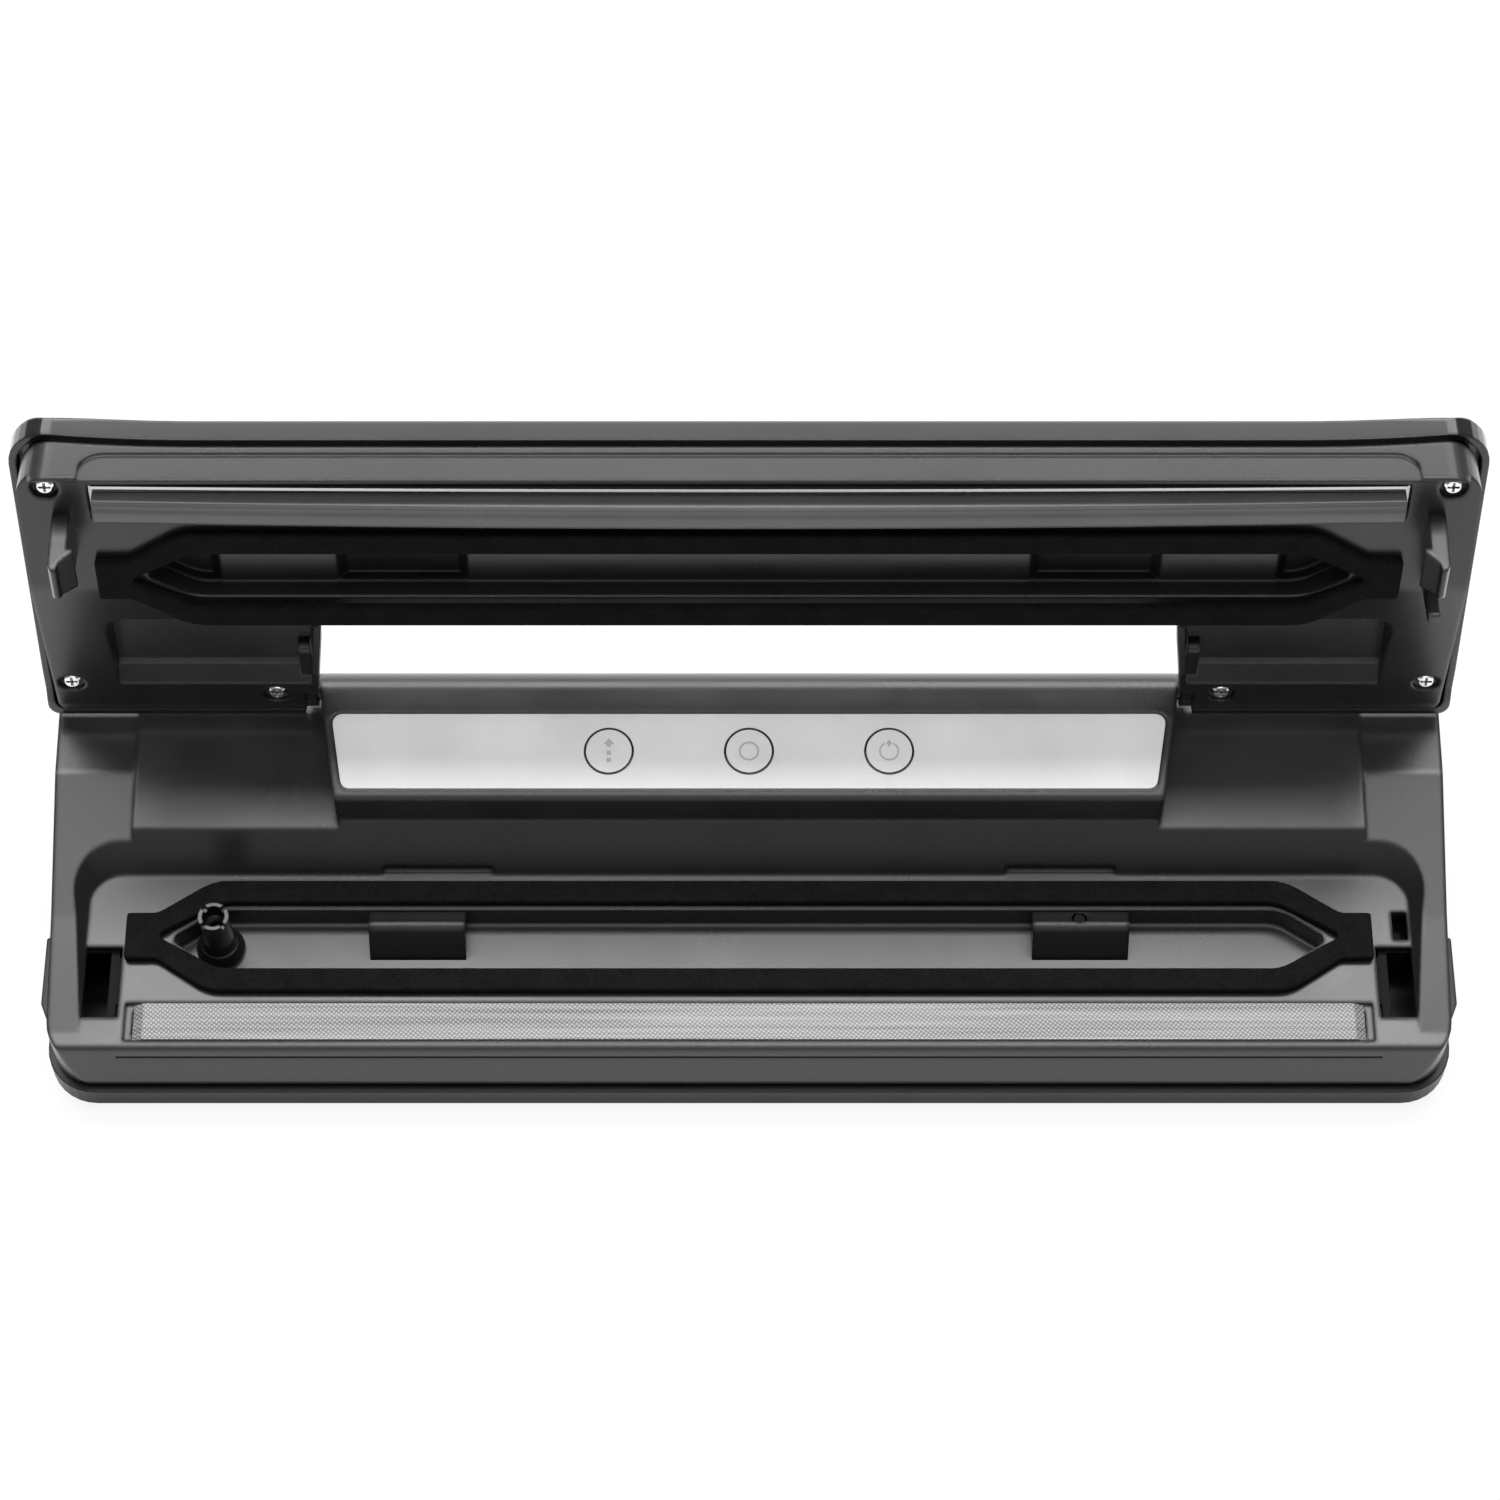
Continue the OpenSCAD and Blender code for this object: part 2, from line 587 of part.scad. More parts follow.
// ---- sealing element ----
tape_rise = 0.2;
ribbon_t = 0.3;
bed_top = deck_z + tape_rise - tape_t - ribbon_t;
bed_half = recess_half - 6;
module heater_bed() {
    color([0.75, 0.72, 0.66]) on_base() translate([0, -tape_out, 0])
        side_view([[-bed_slot_w / 2 + seat, deck_z - bed_depth, 0], [bed_slot_w / 2 - seat, deck_z - bed_depth, 0],
                   [bed_slot_w / 2 - seat, deck_z - tape_recess, 0], [tape_w / 2 - 0.3, deck_z - tape_recess, 0],
                   [tape_w / 2 - 0.3, bed_top, 0.2], [-tape_w / 2 + 0.3, bed_top, 0.2],
                   [-tape_w / 2 + 0.3, deck_z - tape_recess, 0],
                   [-bed_slot_w / 2 + seat, deck_z - tape_recess, 0]], -bed_half, bed_half);
}
module heater_ribbon() {
    color([0.72, 0.72, 0.74]) on_base()
        block(-bed_half + 1, bed_half - 1, -tape_out - 1.5, -tape_out + 1.5, bed_top, bed_top + ribbon_t);
}
module heater_tape() {
    top = deck_z + tape_rise;
    low = deck_z - tape_recess;
    color([0.66, 0.66, 0.65]) on_base() translate([0, -tape_out + tape_w / 2, 0]) rotate([90, 0, 0])
        linear_extrude(tape_w) polygon(rounded(
            [[-tape_half, low, 0], [-bed_half - 1, top, 1.5], [bed_half + 1, top, 1.5], [tape_half, low, 0],
             [tape_half - 1.1, low, 0], [bed_half + 0.6, top - tape_t, 0.8],
             [-bed_half - 0.6, top - tape_t, 0.8], [-tape_half + 1.1, low, 0]]));
}

// ---- foam gaskets ----
gasket_mid = (gasket_rear + gasket_front) / 2;
tab_half = 6.9;
tab_len = 8.6;
gasket_bend = gasket_half - 23.1;
module foam_ring(z0, z1) {
    shoulder = gasket_half - tab_len;
    difference() {
        slab(concat(
            [[-gasket_bend, -gasket_front, 14], [gasket_bend, -gasket_front, 14]],
            [[shoulder, -gasket_mid - tab_half, 3], [gasket_half, -gasket_mid - tab_half, 0.6],
             [gasket_half, -gasket_mid + tab_half, 0.6], [shoulder, -gasket_mid + tab_half, 3]],
            [[gasket_bend, -gasket_rear, 14], [-gasket_bend, -gasket_rear, 14]],
            [[-shoulder, -gasket_mid + tab_half, 3], [-gasket_half, -gasket_mid + tab_half, 0.6],
             [-gasket_half, -gasket_mid - tab_half, 0.6], [-shoulder, -gasket_mid - tab_half, 3]]), z0, z1);
        slab(pointed(gasket_half - 8.4, gasket_half - 25.6, gasket_rear + foam_w, gasket_front - foam_w, 1, 10),
             z0 - 1, z1 + 1);
    }
}
module lower_gasket() { color([0.06, 0.06, 0.06]) on_base() foam_ring(deck_z, deck_z + foam_h); }

// ---- things in the channel ----
module vacuum_port() {
    low = channel_floor;
    ring = port_d / 2;
    foot = port_foot_d / 2;
    color([0.22, 0.22, 0.22]) on_base() translate([-port_x, -port_out, 0]) difference() {
        rotate_extrude() polygon(
            [[1.5, hose_elbow_z + 0.2], [2.3, hose_elbow_z + 0.2], [2.3, hose_top], [foot - 1 - seat, hose_top],
             [foot - 1 - seat, low], [foot, low], [foot, low + 1.4], [foot - 0.7, low + 3.2], [foot - 1.3, low + 4.6],
             [foot - 2, low + 5], [ring + 0.6, low + 6], [ring, low + 8.4], [ring, deck_z + port_h],
             [ring - 1.2, deck_z + port_h], [ring - 1.2, deck_z + port_h - 5], [1.5, deck_z + port_h - 6]]);
        for (a = [45, 135]) rotate([0, 0, a]) translate([-10, -0.6, deck_z + port_h - 1.7]) cube([20, 1.2, 3]);
    }
}
baffle_x = 77.2;
baffle_w = 26.2;
module channel_baffles() {
    color([0.24, 0.24, 0.24]) on_base() difference() {
        both_sides() side_view(
            [[-channel_rear, channel_floor, 0], [-channel_rear, deck_z - 0.8, 0.5],
             [-channel_rear - 3.6, deck_z + 0.3, 1], [-channel_rear - 4, deck_z + 1.3, 0.3],
             [-channel_rear - 5.2, deck_z + 1.3, 0.4], [-channel_rear - 6.4, deck_z, 0.8],
             [-channel_rear - 11.2, channel_floor, 0]], baffle_x, baffle_x + baffle_w);
        sensor_place() rod([0, 0, -20], 2.1, 30);
    }
}
sensor_x = 90;
module sensor_place() { translate([sensor_x, -channel_rear - 2.4, deck_z]) children(); }
module pressure_sensor() {
    tub = channel_floor - wall - deck_z;
    color([0.55, 0.55, 0.55]) on_base() sensor_place() {
        rod([0, 0, tub], 1.5, -tub - 0.6);
        rod([0, 0, tub - 5], 5, 5);
    }
}

// ---- pump, hose and electrics ----
pump_x = 12.2 - port_x;
pump_w = 34;
pump_y = -6;
pump_half = 15;
motor_r = 13.8;
motor_len = 42;
pump_top = deck_z + 7;
module vacuum_pump() {
    color([0.85, 0.85, 0.82]) on_base() {
        block(pump_x - pump_w / 2, pump_x + pump_w / 2, pump_y - pump_half, pump_y + pump_half, pan_floor, pump_top);
        translate([pump_x - 6, pump_y, pump_top]) cylinder(r = 3, h = 3);
    }
}
module pump_motor() {
    color([0.6, 0.6, 0.62]) on_base() translate([pump_x + pump_w / 2, pump_y, pan_floor + motor_r])
        rotate([0, 90, 0]) {
            cylinder(r = motor_r, h = motor_len);
            translate([0, 0, motor_len]) cylinder(r = 4, h = 3);
        }
}
hose_r = 3.4;
hose_bore_r = 2.35;
// The hose drops from the port, bends and runs back along the pan's floor
hose_top = channel_floor - wall - 0.4;
hose_run_z = pan_floor + 0.2 + hose_r;
hose_bend = (hose_top - hose_run_z) / 1.4;
hose_elbow_z = hose_run_z + hose_bend;
module suction_hose() {
    run_y = hose_bend - port_out;
    run_len = pump_y - pump_half - run_y;
    color([0.7, 0.7, 0.66]) on_base() translate([-port_x, 0, 0]) {
        translate([0, -port_out, 0]) difference() {
            rod([0, 0, hose_elbow_z], hose_r, hose_top - hose_elbow_z);
            rod([0, 0, hose_elbow_z - 1], hose_bore_r, 20);
        }
        translate([0, run_y, hose_elbow_z]) rotate([0, 90, 0]) hose_elbow();
        translate([0, run_y, hose_run_z]) rotate([-90, 0, 0]) difference() {
            cylinder(r = hose_r, h = run_len);
            translate([0, 0, -1]) cylinder(r = hose_bore_r, h = run_len + 2);
        }
    }
}
module hose_elbow() {
    rotate([0, 0, -90]) rotate_extrude(angle = 90) translate([hose_bend, 0]) difference() {
        circle(r = hose_r, $fn = SMOOTH);
        circle(r = hose_bore_r, $fn = SMOOTH);
    }
}
board_x = 66;
module main_board() {
    color([0.12, 0.35, 0.2]) on_base() {
        block(board_x, board_x + 66, -26, 14, pan_floor + 4, pan_floor + 5.6);
        for (x = [board_x + 4, board_x + 62], y = [-22, 10]) rod([x, y, pan_floor], 2.4, 4);
        block(board_x + 8, board_x + 26, -20, -6, pan_floor + 5.6, pan_floor + 19);
        block(board_x + 32, board_x + 44, -4, 10, pan_floor + 5.6, pan_floor + 14);
        for (i = [0 : 2]) rod([board_x + 36 + 9 * i, -15, pan_floor + 5.6], 3.4, 12);
    }
}
module transformer() {
    color([0.5, 0.4, 0.25]) on_base() {
        block(14, 50, -16, 12, pan_floor, pan_floor + 28);
        block(20, 44, -22, 16.5, pan_floor + 7, pan_floor + 21);
    }
}
inlet_x = pan_half - 40.2;
inlet_w = 22;
inlet_h = 10;
module power_inlet() {
    z0 = housing_bottom;
    mid = z0 + inlet_h / 2;
    color([0.08, 0.08, 0.08]) on_base() {
        difference() {
            block(inlet_x - inlet_w / 2, inlet_x + inlet_w / 2, back_in - 16, back_in + 0.8, z0, z0 + inlet_h);
            hull() for (x = [-3.4, 3.4]) translate([inlet_x + x, back_in + 2, mid]) rotate([90, 0, 0])
                cylinder(r = 3.6, h = 13, $fn = SMOOTH);
        }
        for (x = [-3.4, 3.4]) translate([inlet_x + x, back_in - 1, mid]) rotate([90, 0, 0])
            cylinder(r = 1.1, h = 11);
    }
}

// ---- lid switch ----
plunger_x = (switch_x0 + switch_x1) / 2;
plunger_out = (switch_rear + switch_front) / 2;
switch_top = deck_z - 10.4;
plunger_top = deck_z - 6.6;
plunger_r = 1.3;
module lid_switch() {
    color([0.1, 0.1, 0.1]) on_base() difference() {
        union() {
            block(plunger_x - 3.4, plunger_x + 3.4, -plunger_out - 3.4, -plunger_out + 9, switch_top - 8, switch_top);
            // ears that hang the switch from the deck
            block(plunger_x - 3.4, plunger_x + 3.4, -plunger_out + 6, -plunger_out + 9, switch_top, under_deck);
        }
        rod([plunger_x, -plunger_out, switch_top - 6.4], plunger_r + 0.05, 10);
    }
}
plunger_foot = switch_top - 2.4;
module switch_plunger() {
    color([0.7, 0.1, 0.08]) on_base()
        rod([plunger_x, -plunger_out, plunger_foot], plunger_r, plunger_top - plunger_foot);
}
module plunger_spring() {
    color([0.75, 0.75, 0.77]) on_base() difference() {
        rod([plunger_x, -plunger_out, switch_top - 6.4], 1.05, plunger_foot - switch_top + 6.4);
        rod([plunger_x, -plunger_out, switch_top - 7], 0.7, 10);
    }
}

// ---- latches ----
slider_z1 = under_deck - 0.4;
slider_z0 = slider_z1 - 1.8;
lip_x = hook_x - 2.2;
hook_x1 = hook_x + 2.6;
hook_x0 = hook_x - 1.8;
slider_rear = window_rear - 1;
slider_front = window_front + 1;
frame_x0 = lip_x - 2.4;
spring_x1 = lip_x - 12;
spring_len = 9;
module latch_slider() {
    color([0.35, 0.35, 0.36]) on_base() difference() {
        union() {
            block(frame_x0, housing_half - wall - 0.5, -slider_front, -slider_rear, slider_z0, slider_z1);
            block(spring_x1, frame_x0 + 1, -slider_front + 6, -slider_rear - 3, slider_z0, slider_z1);
            // pusher that carries the release button
            block(housing_half - 5, housing_half - wall - 0.5, -release_out - 9, -release_out + 8,
                  release_z - 3, slider_z1);
            block(housing_half - 5, housing_half - button_root, -release_out - 9, -release_out + 8,
                  release_z - 3, release_z + 3);
        }
        block(lip_x, hook_x1 + 3.4, -slider_front + 1.2, -slider_rear - 1.4, 0, deck_z);
    }
}
module latch_slider_left() { mirror([1, 0, 0]) latch_slider(); }
module latch_slider_right() { latch_slider(); }
module release_button() {
    outer = housing_half + release_proud;
    z0 = release_z - release_h / 2;
    color([0.13, 0.13, 0.13]) on_base() translate([0, 0, z0]) linear_extrude(release_h) polygon(rounded(
        [[housing_half - button_root, -release_out - release_len / 2, 0],
         [outer - 1.6, -release_out - release_len / 2, 0.6],
         [outer, -release_out - release_len / 2 + 4, 2], [outer, -release_out + release_len / 2, 0.8],
         [housing_half - button_root, -release_out + release_len / 2, 0]]));
}
module release_button_left() { mirror([1, 0, 0]) release_button(); }
module release_button_right() { release_button(); }
spring_out = (window_rear + window_front) / 2;
module latch_spring() {
    color([0.8, 0.8, 0.82]) on_base() translate([spring_x1 - spring_len, -spring_out, under_deck - 2])
        rotate([0, 90, 0]) difference() {
            cylinder(r = 1.6, h = spring_len);
            translate([0, 0, -1]) cylinder(r = 1, h = 12);
        }
}
module latch_spring_left() { mirror([1, 0, 0]) latch_spring(); }
module latch_spring_right() { latch_spring(); }

module hinge_pins() {
    color([0.72, 0.72, 0.74]) on_base() both_sides() translate([hump_half(0) - 4.6, 0, hinge_z])
        rotate([0, 90, 0]) cylinder(r = pin_r, h = 4.6 + arm_gap + arm_t);
}

// ---- lid: modelled closed, with the hinge line as its origin ----
arm_gap = 0.5;
arm_t = 3.2;
arm_root = 26;
arm_top = -1;
// Lowest part of the lid beside its cut-out, clear of the rests when closed
rest_clear_z = rest_h + lid_clear - hinge_rise;
hub_r = 3.6;
skirt_recess = 10.7;
shell_out = liner_out + 0.8;
shell_half = housing_half + 1.8;
shell_flare = side_flare - 0.7;
shell_back = 4.5;
liner_half = shell_half - shell_proud;
liner_back = 2.4;
shell_edge = crown - 1.6;
band_drop = shell_band - shell_edge + 0.6;
groove_w = 1.7;
cut_out = gasket_rear - 1.4;
cut_hinge_half = hump_hinge_half + arm_gap;
cut_taper = 0.11;
function cut_half(out) = cut_hinge_half - cut_taper * out;
function shell_plan(inset) =
    plan(shell_half - inset, shell_half + shell_flare - inset, -shell_out + inset, shell_back - inset,
         corner_r + 0.6 - inset, 3);
wing_x = shell_half - 50.2;
wing_steps = 8;
// Height of the sweep at a distance from the middle
function sweep_z(x) = wing * pow(max(0, x - wing_x) / (shell_half - 6 - wing_x), 2);
// Solid with a front view in the XZ plane, running from y0 to y1
module front_view(path, y0, y1) {
    translate([0, y1, 0]) rotate([90, 0, 0]) linear_extrude(y1 - y0) polygon(path);
}
function sweep(z, half) = let (x = [for (i = [0 : wing_steps]) wing_x + (half - wing_x) * i / wing_steps])
    concat([for (i = [wing_steps : -1 : 0]) [-x[i], z + sweep_z(x[i])]], [for (t = x) [t, z + sweep_z(t)]]);
module under_sweep(z, bottom) {
    half = shell_half + side_flare;
    front_view(concat([[half, bottom], [-half, bottom]], sweep(z, half)), -200, 40);
}
module over_sweep(z) {
    half = shell_half + side_flare;
    front_view(concat([[half, 60], [-half, 60]], sweep(z, half)), -200, 40);
}
module shell_top(inset, bottom) {
    shell_side(inset, bottom);
    intersection() {
        under_sweep(shell_edge - inset, bottom);
        side_view([[-shell_out + inset, bottom, 0], [-shell_out + inset, shell_edge + wing - inset, 2.2],
                   [-shell_out + 44, shell_edge + wing - inset, 40], [-4, shell_edge - inset, 0], [-4, bottom, 0]],
                  -wide, wide);
    }
}
module shell_side(inset, bottom) {
    side_view([[-shell_out + inset, bottom, 0], [-shell_out + inset, shell_edge - inset, max(0.4, 2.4 - inset)],
               [-34, crown - inset, 400], [shell_back - inset, crown - inset, max(0.4, 2.4 - inset)],
               [shell_back - inset, bottom, 0]], -wide, wide);
}
module band_limit(lower) {
    side_view([[-120, 40, 0], [-120, -band_drop - lower, 0], [-bend_out, -band_drop - lower, 20],
               [-shell_back, -rear_drop + 1.2 - lower, 3], [2, -rear_drop + 0.2 - lower, 0],
               [20, -rear_drop + 0.2 - lower, 0], [20, 40, 0]], -wide, wide);
}
module cut_slab(grow, z0, z1) {
    slab([[-cut_half(cut_out) - grow, -cut_out - grow, 5], [cut_half(cut_out) + grow, -cut_out - grow, 5],
          [cut_half(-30) + grow, 30, 0], [-cut_half(-30) - grow, 30, 0]], z0, z1);
}
module arm_notch(spread) {
    both_sides() block(cut_hinge_half - 2, cut_hinge_half + arm_t + spread, -hub_r - 1.6, 20, -10, 10);
}
lid_screw_r = 1.2;
// [x, distance in front of the hinge, height of the tip]
lid_screw_spots = [[shell_half - 11.2, shell_out - 7.1, shell_edge - 0.8], [shell_half - 6.6, 10.7, crown - 0.9],
                   [cut_hinge_half + 10.7, 4.9, crown - 0.9]];
module at_lid_screws() { both_sides() for (s = lid_screw_spots) translate([s[0], -s[1], 0]) children(); }

module lid_shell() {
    color([0.13, 0.13, 0.13]) on_lid() difference() {
        intersection() {
            shell_top(0, -12);
            slab(shell_plan(0), -12, 10);
            band_limit(0);
            over_sweep(-band_drop);
        }
        difference() {
            intersection() {
                shell_top(shell_t, -20);
                slab(shell_plan(shell_t), -20, 10);
            }
            cut_slab(shell_t, -rear_drop - 1, 10);
        }
        cut_slab(0, -30, 30);
        arm_notch(0.4);
        // room for the roots of the hinge arms
        both_sides() block(cut_hinge_half - 4, cut_hinge_half + arm_t + 0.4, -arm_root - 0.4, -hub_r - 1.2,
                           -12, arm_top + seat);
        both_sides() for (s = lid_screw_spots) rod([s[0], -s[1], -12], lid_screw_r + 0.05, 12 + s[2]);
    }
}

plate_z = -plate_drop;
bar_mid = tape_out + 0.2;
bar_slot_rear = bar_mid - bar_w / 2 - 0.4;
bar_slot_front = bar_mid + bar_w / 2 + 3.4;
bar_slot_z = plate_z + 2;
pocket_front = cut_out - 2.1;
pocket_rear = 9.5;
pocket_half = rest_half + 2.5;
pocket_z = -3;
lid_ceiling = plate_z + lid_channel_depth;
function underside(back, lift) =
    [[-liner_out, -rim_drop + lift, 0.8], [-liner_out + 1.6, -rim_drop + lift, 0.5],
     [-liner_out + 2, plate_z + lift, 0.3], [-bend_out, plate_z + lift, 20], [0, -rear_drop + lift, 3],
     [back, -rear_drop + lift, 0]];
function lip_plan(inset) =
    plan(liner_half - 1 - inset, liner_half + side_flare - 1 - inset, -shell_out + shell_t + seat + inset,
         liner_back, corner_r - 3 - inset, 3);
module liner_solid() {
    intersection() {
        slab(plan(liner_half, liner_half + side_flare, -liner_out, liner_back, corner_r - 2, 3), -30, 10);
        side_view(concat(underside(liner_back, 0), [[liner_back, 5, 0], [-liner_out, 5, 0]]), -wide, wide);
        union() {
            under_sweep(-band_drop - groove_w, -40);
            side_view([[-bend_out, -40, 0], [-bend_out, -band_drop, 0], [liner_back, -rear_drop + 1, 0],
                       [liner_back, -40, 0]], -wide, wide);
        }
    }
    intersection() {
        slab(lip_plan(0), -30, 10);
        side_view([[-liner_out + 2, plate_z + 1, 0], [-bend_out, plate_z + 0.6, 0], [0, -rear_drop + 0.1, 0],
                   [liner_back, -rear_drop + 0.1, 0], [liner_back, crown - shell_t - seat - 0.4, 0],
                   [liner_back - 0.4, crown - shell_t - seat, 0],
                   [-34, crown - shell_t - seat, 400], [-shell_out + shell_t + seat, shell_edge - shell_t - seat, 1],
                   [-shell_out + shell_t + seat, plate_z + 1, 0]], -wide, wide);
        cut_clear();
    }
}
// keeps the liner off the shell's wall round the cut-out
module cut_clear() {
    difference() {
        translate([-300, -200, -50]) cube([600, 300, 100]);
        cut_slab(shell_t + seat, -rear_drop - 1 - seat, 20);
    }
}
module pocket(grow, top) {
    both_sides() intersection() {
        slab([[cut_half(pocket_front) + liner_t + 0.4 - grow, -pocket_front - grow, 4],
              [pocket_half + grow, -pocket_front - grow, 6], [pocket_half + grow, -pocket_rear + 4, 6],
              [cut_half(pocket_rear) + liner_t + 0.4 - grow, -pocket_rear + 4, 1]], -40, top);
        side_view([[-80, -40, 0], [-80, 20, 0], [-pocket_rear - 7.5 + grow, 20, 0],
                   [-pocket_rear - 7.5 + grow, pocket_z - 0.5, 2], [-pocket_rear + grow, -rear_drop - 2.6, 2],
                   [-pocket_rear + grow, -40, 0]], 0, wide);
    }
}
// deeper parts of the recess with sloping ends, over the baffles and the port
module recess_deep(grow) {
    low = lid_ceiling - 1;
    top = lid_ceiling + lid_pocket_depth + grow;
    slope = 3.4;
    x0 = baffle_x - 4.7 - grow;
    x1 = baffle_x + baffle_w + 5.2 + grow;
    x2 = port_x - 7 - grow;
    both_sides() intersection() {
        slab(channel_plan(grow - 0.4), -30, top + 5);
        union() {
            front_view([[x0, low], [x0 + slope, top], [x1 - slope, top], [x1, low]], -200, 40);
            front_view([[x2, low], [x2 + slope, top], [wide, top], [wide, low]], -200, 40);
        }
    }
}
module liner_hollow() {
    difference() {
        intersection() {
            slab(lip_plan(liner_t), -30, 20);
            side_view(concat([[-liner_out + liner_t + 1.4, plate_z + liner_t, 0], [-bend_out, plate_z + liner_t, 20],
                              [-4, -rear_drop - lid_slope * 4 + liner_t, 0], [-1, 5, 0],
                              [-liner_out + liner_t + 1.4, 5, 0]]), -wide, wide);
        }
        slab(channel_plan(liner_t), -30, lid_ceiling + liner_t);
        recess_deep(liner_t);
        pocket(liner_t, pocket_z + liner_t);
        block(-bar_half - 3, bar_half + 3, -bar_slot_front - liner_t, -bar_slot_rear + liner_t,
              -30, bar_slot_z + liner_t);
        cut_slab(shell_t + seat + liner_t, -30, 20);
        at_lid_screws() cylinder(r = 4.4, h = 60, center = true);
    }
}
module lid_liner() {
    color([0.24, 0.24, 0.24]) on_lid() {
        difference() {
            union() {
                difference() {
                    liner_solid();
                    liner_hollow();
                    slab(channel_plan(0), -30, lid_ceiling);
                    recess_deep(0);
                    pocket(0, pocket_z);
                    block(-bar_half - 1, bar_half + 1, -bar_slot_front, -bar_slot_rear, -30, bar_slot_z);
                    cut_slab(0, -40, 40);
                    arm_notch(0);
                    // clearance over the rests beside the cut-out
                    both_sides() block(cut_half(cut_out) - 4, cut_hinge_half + liner_t + 1, -riser_top - 4,
                                       -pocket_rear, -40, rest_clear_z);
                    // finger recess in the front skirt
                    front_view(rounded([[-finger_half, -40, 0], [finger_half, -40, 0],
                                        [finger_half, -skirt_recess, 6], [-finger_half, -skirt_recess, 6]]),
                               -liner_out - 1, -liner_out + 0.8);
                }
                // hinge arms
                both_sides() {
                    side_view([[-arm_root, rest_clear_z + 0.2, 3], [-arm_root, arm_top, 0], [-hub_r, arm_top, 0],
                               [0, hub_r * 0.9, 1.5], [1, -hub_r * 0.9, 1.5]],
                              cut_hinge_half, cut_hinge_half + arm_t);
                    translate([cut_hinge_half, 0, 0]) rotate([0, 90, 0]) cylinder(r = hub_r, h = arm_t);
                }
            }
            both_sides() translate([cut_hinge_half - 1, 0, 0]) rotate([0, 90, 0])
                cylinder(r = pin_r + pin_gap, h = arm_t + 1.5);
            both_sides() for (s = lid_screw_spots) {
                rod([s[0], -s[1], -40], lid_screw_r + 0.05, 60);
                rod([s[0], -s[1], -40], 3.7, 40 - lid_drop(s[1]) + 2);
            }
        }
    }
}
module lid_screws() {
    color([0.8, 0.8, 0.82]) on_lid() both_sides() for (s = lid_screw_spots) {
        head_z = -lid_drop(s[1]) + 2;
        translate([s[0], -s[1], head_z]) {
            difference() {
                translate([0, 0, -1.6]) rotate_extrude() polygon(
                    [[0, 0], [1.9, 0], [2.5, 0.5], [2.7, 1.1], [2.7, 1.6], [0, 1.6]]);
                translate([0, 0, -0.9]) mirror([0, 0, 1]) cross_slot();
            }
            cylinder(r = lid_screw_r, h = s[2] - head_z - 0.1);
        }
    }
}

// Strip with a bowed lower edge, running along X
module bowed(half, out, width, top, end_z, bow) {
    steps = 24;
    translate([0, -out + width / 2, 0]) rotate([90, 0, 0]) linear_extrude(width) polygon(concat(
        [[half, top], [-half, top]],
        [for (i = [0 : steps]) let (t = 2 * i / steps - 1) [half * t, end_z - bow * (1 - t * t)]]));
}
carrier_t = 1;
bar_tip = -(hinge_rise - tape_rise - 0.3);
module bar_carrier() {
    color([0.8, 0.8, 0.8]) on_lid() {
        block(-bar_half - 0.8, bar_half + 0.8, -bar_slot_front + seat, -bar_slot_rear - seat,
              bar_slot_z - carrier_t, bar_slot_z);
        bowed(bar_half, bar_slot_front - seat - 0.5, 1, bar_slot_z - 0.5, plate_z - 0.2, bar_bow * 0.5);
    }
}
module pressure_bar() {
    color([0.42, 0.42, 0.42]) on_lid()
        bowed(bar_half, bar_mid, bar_w, bar_slot_z - carrier_t, bar_tip + bar_bow, bar_bow);
}
module upper_gasket() {
    color([0.06, 0.06, 0.06]) on_lid() foam_ring(plate_z - upper_foam_h, plate_z);
}
hook_tip = plate_z - hook_len;
barb_top = slider_z0 - 0.3 - hinge_z;
module latch_hooks() {
    color([0.3, 0.3, 0.3]) on_lid() both_sides() intersection() {
        side_view([[-hook_front, plate_z, 0], [-hook_front, plate_z - 2, 0.5], [-hook_front + 3.7, hook_tip, 1],
                   [-hook_rear - 1.4, hook_tip, 1.5], [-hook_rear, plate_z - 3, 0.5], [-hook_rear, plate_z, 0]],
                  hook_x - 20, hook_x + 20);
        translate([0, 20, 0]) rotate([90, 0, 0]) linear_extrude(200) polygon(rounded(
            [[hook_x0, plate_z, 0], [hook_x1, plate_z, 0], [hook_x1, hook_tip + 1.5, 1], [hook_x1 - 1, hook_tip, 0.5],
             [hook_x0 + 2.4, hook_tip, 0.3], [hook_x0 + 1.9, hook_tip + 2.2, 1],
             [hook_x0 - barb, barb_top - 1, 0.2], [hook_x0 - barb, barb_top, 0.2], [hook_x0, barb_top, 0]]));
    }
}
module switch_finger() {
    tip = plunger_top - hinge_z + 0.3;
    color([0.3, 0.3, 0.3]) on_lid() side_view(
        [[-plunger_out - 1.6, plate_z, 0], [-plunger_out - 1.6, tip, 0.6], [-plunger_out + 1.2, tip, 0.6],
         [-plunger_out + 1.2, plate_z, 0]], plunger_x - 1.5, plunger_x + 1.5);
}

base_pan();
base_housing();
feet();
pan_screws();
power_inlet();
panel_plate();
panel_board();
pulse_button();
seal_button();
vac_button();
heater_bed();
heater_ribbon();
heater_tape();
lower_gasket();
vacuum_port();
channel_baffles();
pressure_sensor();
vacuum_pump();
pump_motor();
suction_hose();
main_board();
transformer();
lid_switch();
switch_plunger();
plunger_spring();
latch_spring_left();
latch_spring_right();
latch_slider_left();
latch_slider_right();
release_button_left();
release_button_right();
hinge_pins();
lid_shell();
lid_liner();
bar_carrier();
pressure_bar();
upper_gasket();
latch_hooks();
switch_finger();
lid_screws();
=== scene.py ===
import json
import math

import bmesh
import bpy
from mathutils import Matrix, Vector


